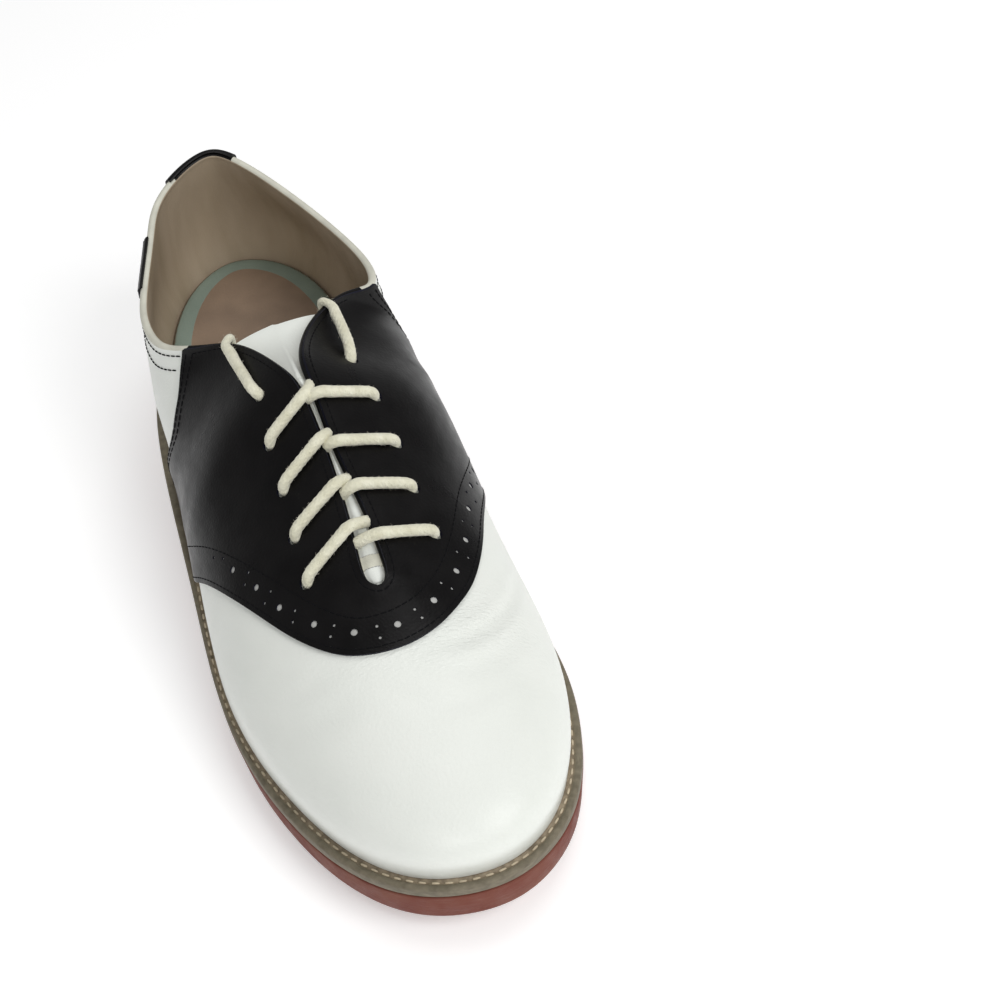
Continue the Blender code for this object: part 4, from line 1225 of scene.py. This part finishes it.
def fold_over(name, ring, end):
    """Leather folded over the collar's rolled edge, from its outside to a turn round it."""
    ring, turn = np.broadcast_arrays(ring, np.linspace(-0.45, end, 16)[None, :])
    add_shell(name, rim_arc(ring, turn, 0.0008), rim_arc(ring, turn, 0.0001), BLACK, "black_leather")


def add_shell(name, outer, inner, look, slot):
    """A closed thin shell between two grids of the same size."""
    count, width = outer.shape[:2]
    size = count * width
    points = np.concatenate([outer.reshape(-1, 3), inner.reshape(-1, 3)])
    sheet = quads(count, width)
    border = [(0, j) for j in range(width - 1)] + [(i, width - 1) for i in range(count - 1)]
    border += [(count - 1, j) for j in range(width - 1, 0, -1)] + [(i, 0) for i in range(count - 1, 0, -1)]
    flat = np.array([i * width + j for i, j in border])
    after = np.roll(flat, -1)
    walls = np.stack([flat, after, after + size, flat + size], -1)
    piece = add_piece(name, points, np.concatenate([sheet[:, ::-1], sheet + size, walls]), [look], sharp=50)
    outward_faces(piece)
    return show(piece, slot)


def outward_faces(piece):
    pick(piece)
    bpy.ops.object.mode_set(mode="EDIT")
    bpy.ops.mesh.select_all(action="SELECT")
    bpy.ops.mesh.normals_make_consistent(inside=False)
    bpy.ops.object.mode_set(mode="OBJECT")


def add_side_tab():
    """A plain black tab sewn on under the collar, on the lateral side."""
    outline = [(-0.866, 0.985), (-0.786, 0.985), (-0.786, 0.885), (-0.866, 0.885)]
    tab = leather_sheet("side_tab", outline, [], 0.0002, 0.0012, [BLACK, NAVY_EDGE], spacing=0.001)
    show(tab, "black_leather")
    fold_over("side_tab_fold", np.linspace(0.786, 0.866, 50)[:, None], 1.25)


# Tongue


TONGUE_END = 0.0370     # beyond the top of the slot
TONGUE_HALF = 0.0170    # half its width
TONGUE_DROP = 0.0006    # how far its middle sinks to its free end
TONGUE_ARCH = 0.0075    # how far its sides hang below its middle, at the top of the slot
SLOT_ROWS = 90          # of its grid, those in the slot


def tongue_grid(rows):
    """The tongue's upper side: under the facings, proud in the slot, then free above the sock."""
    part = np.linspace(1, 0, 22)
    made = []
    for share in np.linspace(0.12, 0.50, rows):
        lateral, medial = (side_row(ring, part) for ring in (share, 2 - share))
        medial = medial[::-1]
        first, last = lateral[-1], medial[0]
        wide = np.linalg.norm(last - first)
        up = unit(last_normal(share, 1.0) + last_normal(2 - share, 1.0))
        t = np.linspace(0, 1, 9)[1:-1, None]
        proud = 0.0011 * min(1.0, wide / 0.0035) * min(1.0, (share - 0.11) / 0.03)
        proud = proud * np.sin(t * math.pi) ** 0.5
        made.append(np.vstack([lateral, first + (last - first) * t + up * proud, medial]))
    base = made[-1]
    middle = base[len(base) // 2]
    across = (base[:, 0] - middle[0]) / TONGUE_HALF
    for step in np.linspace(0, 1, 40)[1:]:
        settle = step * step * (3 - 2 * step)
        arch = middle[2] - TONGUE_DROP * step - TONGUE_ARCH * (1 - 0.76 * settle) * across**2
        height = base[:, 2] * (1 - settle) + arch * settle
        side = middle[0] + (base[:, 0] - middle[0]) * (1 + 0.06 * step)
        along = TONGUE_END * step * (1 + 0.05 * across - 0.07 * across**6)
        made.append(np.stack([side, base[:, 1] + along, height], -1))
    return np.array(made)


def side_row(ring, part):
    return lifted(ring, 1 - part * TONGUE_HALF / rib_length(ring)[0] / 1.05, -(WALL + GAP))


def over_facings(points):
    """How far each point stands above the underside of the facings over it."""
    ring = np.linspace(0.46, 0.72, 90)[:, None]
    rise = np.linspace(0.5, 1.0, 60)[None, :]
    above = np.concatenate([lifted(side, rise, -WALL - GAP * 2).reshape(-1, 3) for side in (ring, 2 - ring)])
    apart = np.linalg.norm(points[:, None, :2] - above[None, :, :2], axis=2)
    nearest = apart.argmin(axis=1)
    too_high = np.maximum(points[:, 2] - above[nearest, 2], 0)
    near = np.clip((WALL * 2.5 - apart.min(axis=1)) / WALL, 0, 1)
    return too_high * near


def add_tongue():
    outer = tongue_grid(SLOT_ROWS)
    low = np.array([over_facings(row) for row in outer[SLOT_ROWS:]])
    sink = low.max(axis=1)
    for k in range(1, len(sink)):
        sink[k] = max(sink[k], sink[k - 1] * 0.95)
    sink = np.concatenate([np.zeros(1), sink, np.full(30, sink[-1])])
    for _ in range(30):
        sink[1:-1] = (sink[:-2] + 2 * sink[1:-1] + sink[2:]) / 4
    low = np.maximum(low, sink[1:len(low) + 1, None])
    for _ in range(4):
        wide = np.pad(low, 1, mode="edge")
        around = (wide[:-2, 1:-1] + wide[2:, 1:-1] + wide[1:-1, :-2] + wide[1:-1, 2:]) / 4
        low = np.maximum(low, around)
    outer[SLOT_ROWS:] -= UP * low[..., None]
    along, around = np.gradient(outer, axis=0), np.gradient(outer, axis=1)
    normal = unit(np.cross(around, along))
    normal *= np.sign(normal[..., 2:])
    inner = outer - normal * TONGUE_THICKNESS
    tongue = add_shell("tongue_leather", outer, inner, WHITE, "white_leather")
    soft = tongue.modifiers.new("soft_edge", "BEVEL")
    soft.width = 0.0005
    soft.segments = 2
    soft.limit_method = "ANGLE"
    soft.angle_limit = math.radians(60)
    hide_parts("tongue")
    add_tongue_tape()


def add_tongue_tape():
    """A short strip of tape sewn across the front of the slot, ahead of the eyelets."""
    rows = []
    for share in np.linspace(0.266, 0.296, 8):
        first, last = (lifted(side, 1.0, -(WALL + GAP)) for side in (share, 2 - share))
        up = unit(last_normal(share, 1.0) + last_normal(2 - share, 1.0))
        t = np.linspace(-0.2, 1.2, 12)[:, None]
        proud = 0.0012 * np.sin(np.clip(t, 0.03, 0.97) * math.pi) ** 0.5
        rows.append(first + (last - first) * t + up * proud)
    strip = np.array(rows)
    add_shell("tongue_tape", strip + UP * 0.0001, strip - UP * 0.0004, TAPE, "cotton")
    for number, row in ((1, 0), (2, -1)):
        way = strip[row][2:-2]
        add_stitches(f"tongue_tape_seam_{number}", way, np.tile(UP, (len(way), 1)), TAPE_STITCH, HOLE_SHADE_AND_THREAD_GREY,
                     "cotton")


# Sole, welt and sock


def plan_rings(count):
    half = (1 - np.cos(np.linspace(0, math.pi, count + 1))) / 2
    return half * 0.35 + np.linspace(0, 1, count + 1) * 0.65


def around_plan(count):
    share = plan_rings(count)
    return np.concatenate([share, 2 - share[-2:0:-1]])


def layered_solid(name, layers, looks, slot, nodes, count=300, first=0.0, sharp=40, cross=12):
    """A solid between outlines, from the bottom up, with a ladder of faces at both ends.

    layers are (inset, height) where both may be functions of ring and y.
    """
    share = first + (1 - first) * plan_rings(count)
    ring = np.concatenate([share, 2 - share[::-1]])
    rows, maps = [], []
    for inset, height in layers:
        plan = plan_point(ring, np.broadcast_to(inset(ring), ring.shape))
        rows.append(plan + UP * height(plan[:, 1])[:, None])
        maps.append(np.stack([ring, np.broadcast_to(inset(ring), ring.shape)], -1))
    around = len(ring)
    points = [np.array(row) for row in rows]
    faces = []
    for layer in range(len(layers) - 1):
        i = np.arange(around)
        after = (i + 1) % around
        faces.append(np.stack([layer * around + i, (layer + 1) * around + i, (layer + 1) * around + after,
                               layer * around + after], -1)[:, ::-1])
    total = len(layers) * around
    uv = np.concatenate(maps)
    for layer, flip in ((0, False), (len(layers) - 1, True)):
        left = rows[layer][:len(share)]
        right = rows[layer][::-1][:len(share)]
        lines = [np.arange(len(share)) + layer * around]
        for k in range(1, cross):
            t = k / cross
            line = left * (1 - t) + right * t
            points.append(line)
            edge = np.minimum(np.linalg.norm(line - left, axis=1), np.linalg.norm(line - right, axis=1))
            uv = np.concatenate([uv, np.stack([share, edge + 0.01], -1)])
            lines.append(np.arange(total, total + len(share)))
            total += len(share)
        lines.append(layer * around + around - 1 - np.arange(len(share)))
        for a, b in zip(lines[:-1], lines[1:]):
            quad = np.stack([a[:-1], b[:-1], b[1:], a[1:]], -1)
            faces.append(quad if flip else quad[:, ::-1])
    piece = add_piece(name, np.concatenate(points), np.concatenate(faces), looks, uv=uv, sharp=sharp)
    outward_faces(piece)
    return show(piece, slot, *nodes)


def evenly(value):
    return lambda ring: np.full(np.shape(ring), value)


def add_sole():
    soft = [(0.0, 0.0), (0.29, 0.09), (0.71, 0.35), (1.0, 1.0)]
    edge = 0.0011
    low = [(evenly(SOLE_TAPER + edge * (1 - a)), lambda y, b=b: underside(y) + edge * b) for a, b in soft]
    fine = edge * 0.6
    high = [(evenly(fine * (1 - a)), lambda y, b=b: sole_top(y) - fine * b) for a, b in soft[::-1]]
    layered_solid("rubber_outsole", low + high, [RUBBER], "rubber", ["outsole"])
    share = np.linspace(0, 1, 400)
    breast = OUTLINE.way[:, 1].max() - HEEL_LENGTH
    first = float(np.interp(breast, OUTLINE.at(share)[:, 1], share))
    foot = SOLE_TAPER * 2
    low = [(evenly(foot + edge * (1 - a)), lambda y, b=b: np.full_like(y, edge * b)) for a, b in soft]
    top = [(evenly(SOLE_TAPER), lambda y: underside(y) - 0.0001)]
    layered_solid("rubber_heel", low + top, [RUBBER], "rubber", ["heel"], first=first, count=160)


def add_welt():
    ring = around_plan(340)
    seat = welt_shows(ring) + WALL
    shows = welt_shows(ring)
    height = WELT_THICKNESS
    low = 0.0001
    under, over = 0.0006, 0.0009
    profile = [(seat, low), (under, low)]
    for turn in np.radians(np.linspace(-90, 0, 4)):
        profile.append((under * (1 - math.cos(turn)), low + under * (1 + math.sin(turn))))
    for turn in np.radians(np.linspace(0, 90, 5)):
        profile.append((over * (1 - math.cos(turn)), height - over * (1 - math.sin(turn))))
    for back, dip in ((1.9, 0.0), (1.55, 0.0003), (1.0, 0.0005), (0.45, 0.0003), (0.15, 0.0), (-0.6, 0.0)):
        profile.append((np.maximum(shows - back * MM, 0.0011), height - dip))
    profile.append((seat, height))
    points, uv = [], []
    for inset, lift in profile:
        plan = plan_point(ring, np.broadcast_to(inset, ring.shape))
        points.append(plan + UP * (sole_top(plan[:, 1]) + GAP + lift)[:, None])
        near = 0.0036 - (shows - np.broadcast_to(inset, ring.shape))
        uv.append(np.stack([ring, near], -1))
    faces = quads(len(profile), len(ring), closed_rows=True, closed_columns=True)
    welt = add_piece("sewn_welt", np.concatenate(points), faces, [WELTING], uv=np.concatenate(uv), sharp=50)
    outward_faces(welt)
    show(welt, "welting", "welt")
    line = around_plan(700)
    plan = plan_point(line, np.maximum(welt_shows(line) - 0.0010, 0.0013))
    way = plan + UP * (welt_top(plan[:, 1]) - 0.0004)[:, None]
    add_stitches("welt_stitches", way, np.tile(UP, (len(way), 1)), WELT_STITCH, BEIGE_THREAD, "welting",
                 closed=True)


SOCK_STEPS = 300


def sock_top(y):
    """The sock's height over the welt: a pad under the heel that thins out to the ball."""
    share = np.clip((np.asarray(y, float) + 0.035) / 0.095, 0, 1)
    return 0.0012 + HEEL_PAD * share * share * (3 - 2 * share)


def add_sock():
    def edge(extra):
        return lambda ring: welt_shows(ring) + WALL + extra

    layers = [(edge(GAP), lambda y: sole_top(y) + 0.0004), (edge(GAP), lambda y: welt_top(y))]
    for extra, lift in ((GAP, 0.0006), (0.0006, 0.0012), (0.0014, 0.0015), (0.0030, 0.0014), (0.0050, 0.0013),
                        (0.0062, 0.00125)):
        layers.append((edge(extra), lambda y, lift=lift: welt_top(y) + sock_top(y) + lift - 0.0012))
    sock = layered_solid("sock", layers, [SOCK], "sock", ["insole"], count=SOCK_STEPS, sharp=70, cross=16)
    mesh = sock.data
    values = np.empty(len(mesh.loops) * 2)
    mesh.uv_layers["map"].data.foreach_get("uv", values)
    around = 2 * (SOCK_STEPS + 1)
    values = values.reshape(-1, 2)
    ring = values[:, 0]
    on_layer = corner_points(mesh) < around * len(layers)
    values[on_layer, 1] -= (welt_shows(ring) + WALL)[on_layer]
    mesh.uv_layers["map"].data.foreach_set("uv", values.ravel())


# Lace

LACE_THICK = 0.0034
LACE_RADIUS = LACE_THICK / 2
STRAND_STEP = 0.00028       # between the points of a strand
BRAID_PITCH = 0.0021
OVER = SADDLE_BASE + SADDLE_THICK + LACE_RADIUS * 0.92
# Where each strand leaves its own facing and where it dives under the other one, in mm along the shoe
LATERAL_CROSSES = [(-7.5, -3.3), (-21.0, -18.6), (-35.4, -33.4), (-48.6, -47.0)]
MEDIAL_CROSSES = [(-8.0, -7.4), (-23.2, -22.4), (-37.5, -37.6), (-52.7, -52.2)]


def facing_edge(side, y):
    """The slot's edge at a distance along the shoe, and its normal; side is 0 lateral, 1 medial."""
    share = np.linspace(0.01, 0.32, 400)
    table = np.linspace(0.0, 0.56, 300)
    sign = 1
    if side:
        share, table, sign = 2 - share, 2 - table, -1
    at = float(np.interp(y, TOPLINE.at(share)[:, 1], share))
    ring = float(np.interp(sign * at, sign * RIB(table)[..., 0], table))
    return TOPLINE.at(at), last_normal(ring, 1.0)


def smooth_way(points):
    points = np.array(points, float)
    chord = distances(points)
    count = max(8, int(chord[-1] / STRAND_STEP))
    return natural_spline(chord, points)(np.linspace(0, chord[-1], count))


def rolled_frames(way):
    """Directions and side vectors that don't twist along a way."""
    along = unit(np.gradient(way, axis=0))
    side = unit(np.cross(along[0], [0.31, 0.2, 0.93]))
    sides = []
    for direction in along:
        side = unit(side - direction * (side @ direction))
        sides.append(side)
    sides = np.array(sides)
    return along, sides, np.cross(along, sides)


def braided_tube(name, way, squash=None):
    """A round braided cord along a way, with closed ends; squash flattens it by place."""
    around = 28
    _, side, other = rolled_frames(way)
    length = distances(way)
    turn = 2 * math.pi * np.arange(around) / around
    s = length[:, None]
    a = np.cos(6 * turn[None] + s * 2 * math.pi / BRAID_PITCH)
    b = np.cos(6 * turn[None] - s * 2 * math.pi / BRAID_PITCH)
    braid = np.maximum(a, b) * 0.00011
    slow = 1 + 0.02 * np.sin(s * 260 + 1.3) + 0.015 * np.sin(s * 610)
    radius = (LACE_RADIUS - 0.00008) * slow + braid
    if squash is not None:
        radius = radius * np.interp(s, *squash)
    for end in (s, length[-1] - s):
        radius = radius * np.clip(0.62 + 0.38 * end / 0.0012, 0, 1)
    ring = side[:, None] * np.cos(turn)[None, :, None] + other[:, None] * np.sin(turn)[None, :, None]
    points = (way[:, None] + ring * radius[..., None]).reshape(-1, 3)
    faces = [list(face) for face in quads(len(way), around, closed_columns=True)]
    count = len(points)
    points = np.vstack([points, way[:1], way[-1:]])
    for i in range(around):
        after = (i + 1) % around
        faces.append([count, i, after])
        faces.append([count + 1, count - around + after, count - around + i])
    piece = add_piece(name, points, faces, [COTTON], sharp=80)
    outward_faces(piece)
    return piece


def eyelet_start(ring, rise, toward):
    """The first points of a strand: up through its eyelet and bent over towards where it goes."""
    spot, normal = last_point(ring, rise), last_normal(ring, rise)
    forward = unit(toward - spot - normal * ((toward - spot) @ normal))
    hug = (EYELET_DIAMETER - LACE_THICK) / 2
    return [spot - normal * 0.0046 + forward * hug * 0.5, spot - normal * 0.0015 + forward * hug,
            spot + normal * 0.0010 + forward * hug * 1.4, spot + normal * OVER * 0.86 + forward * 0.0022]


def settled(way, floor):
    """A way's points lifted so that none is nearer the leather than floor."""
    ring = np.linspace(0.25, 0.72, 140)[:, None]
    rise = np.linspace(0.55, 1.0, 60)[None, :]
    ground = np.concatenate([last_point(side, rise).reshape(-1, 3) for side in (ring, 2 - ring)])
    normals = np.concatenate([last_normal(side, rise).reshape(-1, 3) for side in (ring, 2 - ring)])
    out = way.copy()
    for k, point in enumerate(way):
        nearest = np.linalg.norm(ground - point, axis=1).argmin()
        above = (point - ground[nearest]) @ normals[nearest]
        out[k] = point + normals[nearest] * max(0.0, floor[k] - above)
    return out


def strand_way(side, eyelet, cross):
    """A strand from its eyelet over its own facing, across the slot and down under the other facing."""
    lateral, lateral_rise, medial, medial_rise = eyelet
    ring, rise = (lateral, lateral_rise) if side == 0 else (2 - medial, medial_rise)
    edge, normal = facing_edge(side, cross[0] * MM)
    far, far_normal = facing_edge(1 - side, cross[1] * MM)
    first = eyelet_start(ring, rise, edge)
    t = np.linspace(0.25, 0.97, 6)[:, None]
    start = last_point(ring, rise)
    straight = start + (edge - start) * t + (last_normal(ring, rise) * (1 - t) + normal * t) * OVER
    over = settled(straight, np.full(len(t), OVER))
    flat = unit(far - edge)
    middle = (edge + far) / 2
    up = unit(normal + far_normal)
    dive = [middle + up * (OVER * 0.45), far + up * (-LACE_RADIUS * 0.55) - flat * 0.0001,
            far - up * (WALL + LACE_RADIUS * 1.1) + flat * 0.0022]
    return smooth_way(first + list(over) + dive)


def add_lace():
    pieces = []
    for row in range(4):
        lateral = strand_way(0, EYELETS[row + 1], LATERAL_CROSSES[row])
        medial = strand_way(1, EYELETS[row + 1], MEDIAL_CROSSES[row])
        over = braided_tube(f"lace_lateral_{row + 1}", lateral)
        under = braided_tube(f"lace_medial_{row + 1}", medial)
        show(over, "cotton", f"lace_row_{row + 1}")
        show(under, "cotton")
        pieces += [lateral, medial]
    for name, side in (("lateral", 0), ("medial", 1)):
        way = end_way(side)
        length = float(distances(way)[-1])
        flat = ([length - 0.018, length - 0.012, length], [1.0, 0.76, 0.72])
        end = braided_tube(f"lace_tail_{name}", way, squash=flat)
        show(end, "cotton", f"lace_end_{name}")
        pieces.append(way)
    add_fuzz(pieces)


# From the topline on: across to the medial side, along to the heel, and above
END_TAIL = [(0.0002, 0.0022, 0.0004), (0.0004, 0.0036, -0.0026), (0.0005, 0.0042, -0.0085)]


def end_way(side):
    """The lace's end: from the top eyelet over the facing and down inside the shoe."""
    lateral, lateral_rise, medial, medial_rise = EYELETS[0]
    ring, over, rise, sign = ((lateral, END_OVER[0], lateral_rise, 1) if side == 0
                              else (2 - medial, 2 - END_OVER[1], medial_rise, -1))
    edge = last_point(over, 1.0)
    spot, normal = last_point(ring, rise), last_normal(ring, rise)
    first = eyelet_start(ring, rise, edge)[1:]
    t = np.linspace(0.28, 0.97, 6)[:, None]
    low = OVER - 0.0004 * np.clip((t[:, 0] - 0.6) / 0.37, 0, 1)
    way = spot + (edge - spot) * t + (normal * (1 - t) + last_normal(over, 1.0) * t) * low[:, None]
    way = settled(way, low)
    tail = [edge + np.array([sign * across, along, above]) for across, along, above in END_TAIL]
    return smooth_way(first + list(way) + tail)


def add_fuzz(ways):
    """Short loose cotton fibres standing off the lace."""
    points, faces = [], []
    for way in ways:
        along, side, other = rolled_frames(way)
        for _ in range(int(len(way) * 0.9)):
            k = random.randrange(6, len(way) - 6)
            turn = random.uniform(0, 2 * math.pi)
            out = side[k] * math.cos(turn) + other[k] * math.sin(turn)
            drift = along[k] * random.uniform(-1, 1) + np.cross(along[k], out) * random.uniform(-0.7, 0.7)
            root = way[k] + out * LACE_RADIUS * 0.95
            reach = random.uniform(0.0003, 0.0009)
            bend = root + out * reach * 0.6 + drift * reach * 0.5
            tip = bend + (drift + out * random.uniform(-0.3, 0.4)) * reach * 0.6
            wide = unit(np.cross(tip - root, out + along[k] * 0.3)) * 0.000022
            thick = unit(np.cross(wide, tip - root)) * 0.000022
            base = len(points)
            for spot in (root, bend):
                points += [spot + wide, spot - wide / 2 + thick, spot - wide / 2 - thick]
            points.append(tip)
            for i in range(3):
                j = (i + 1) % 3
                faces.append([base + i, base + j, base + 3 + j, base + 3 + i])
                faces.append([base + 3 + i, base + 3 + j, base + 6])
            faces.append([base + 2, base + 1, base])
    show(add_piece("lace_fibres", np.array(points), faces, [LACE_FUZZ], sharp=80), "cotton")


# Stage and camera


def add_stage():
    bpy.ops.object.select_all(action="DESELECT")
    bpy.ops.mesh.primitive_plane_add(size=6, location=(0, 0, 0))
    floor = bpy.context.object
    floor.name = "floor"
    look = Finish("floor", (0.95, 0.95, 0.95), 0.8, emission_color=(1, 1, 1, 1), emission_strength=0.30)
    floor.data.materials.append(look.made)
    bpy.context.scene.view_settings.view_transform = "Standard"
    world = bpy.data.worlds.new("studio")
    bpy.context.scene.world = world
    world.use_nodes = True
    world.node_tree.nodes["Background"].inputs[0].default_value = (1, 1, 1, 1)
    world.node_tree.nodes["Background"].inputs[1].default_value = 0.31
    for name, spot, size, power, aim in (("key", (0.55, -0.75, 1.0), 0.6, 6.6, (0, -0.02, 0.03)),
                                         ("top", (0.25, 0.30, 1.25), 0.8, 4.3, (0, 0, 0.03)),
                                         ("front", (-0.25, -1.15, 0.85), 0.5, 3.6, (0, -0.05, 0.03))):
        light = bpy.data.lights.new(name, "AREA")
        light.shape = "SQUARE"
        light.size = size
        light.energy = power
        lamp = bpy.data.objects.new(name, light)
        lamp.location = spot
        lamp.rotation_euler = (Vector(spot) - Vector(aim)).to_track_quat("Z", "Y").to_euler()
        bpy.context.scene.collection.objects.link(lamp)


VIEW_SIDE = -13.4614        # degrees from straight ahead of the toe, towards the lateral side
VIEW_HEIGHT = 44.7836
VIEW_ROLL = -7.4356
VIEW_DISTANCE = 0.56935
VIEW_TARGET = (0.05717, 0.01258, 0.0)
VIEW_LENS = 61.275


def add_camera():
    a, e, r = (math.radians(value) for value in (VIEW_SIDE, VIEW_HEIGHT, VIEW_ROLL))
    back = Vector((math.sin(a) * math.cos(e), -math.cos(a) * math.cos(e), math.sin(e)))
    right = Vector((math.cos(a), math.sin(a), 0))
    up = back.cross(right)
    image_right = right * math.cos(r) + up * math.sin(r)
    image_up = up * math.cos(r) - right * math.sin(r)
    lens = bpy.data.cameras.new("camera")
    lens.lens = VIEW_LENS
    lens.sensor_width = 36
    camera = bpy.data.objects.new("camera", lens)
    eye = Vector(VIEW_TARGET) + back * VIEW_DISTANCE
    camera.matrix_world = Matrix((
        (image_right.x, image_up.x, back.x, eye.x),
        (image_right.y, image_up.y, back.y, eye.y),
        (image_right.z, image_up.z, back.z, eye.z),
        (0, 0, 0, 1)))
    bpy.context.scene.collection.objects.link(camera)
    bpy.context.scene.camera = camera


add_camera()
add_lace()
add_upper()
add_saddle()
add_tongue()
add_sole()
add_welt()
add_sock()
add_heel_tab()
add_side_tab()
add_seams()
add_stage()
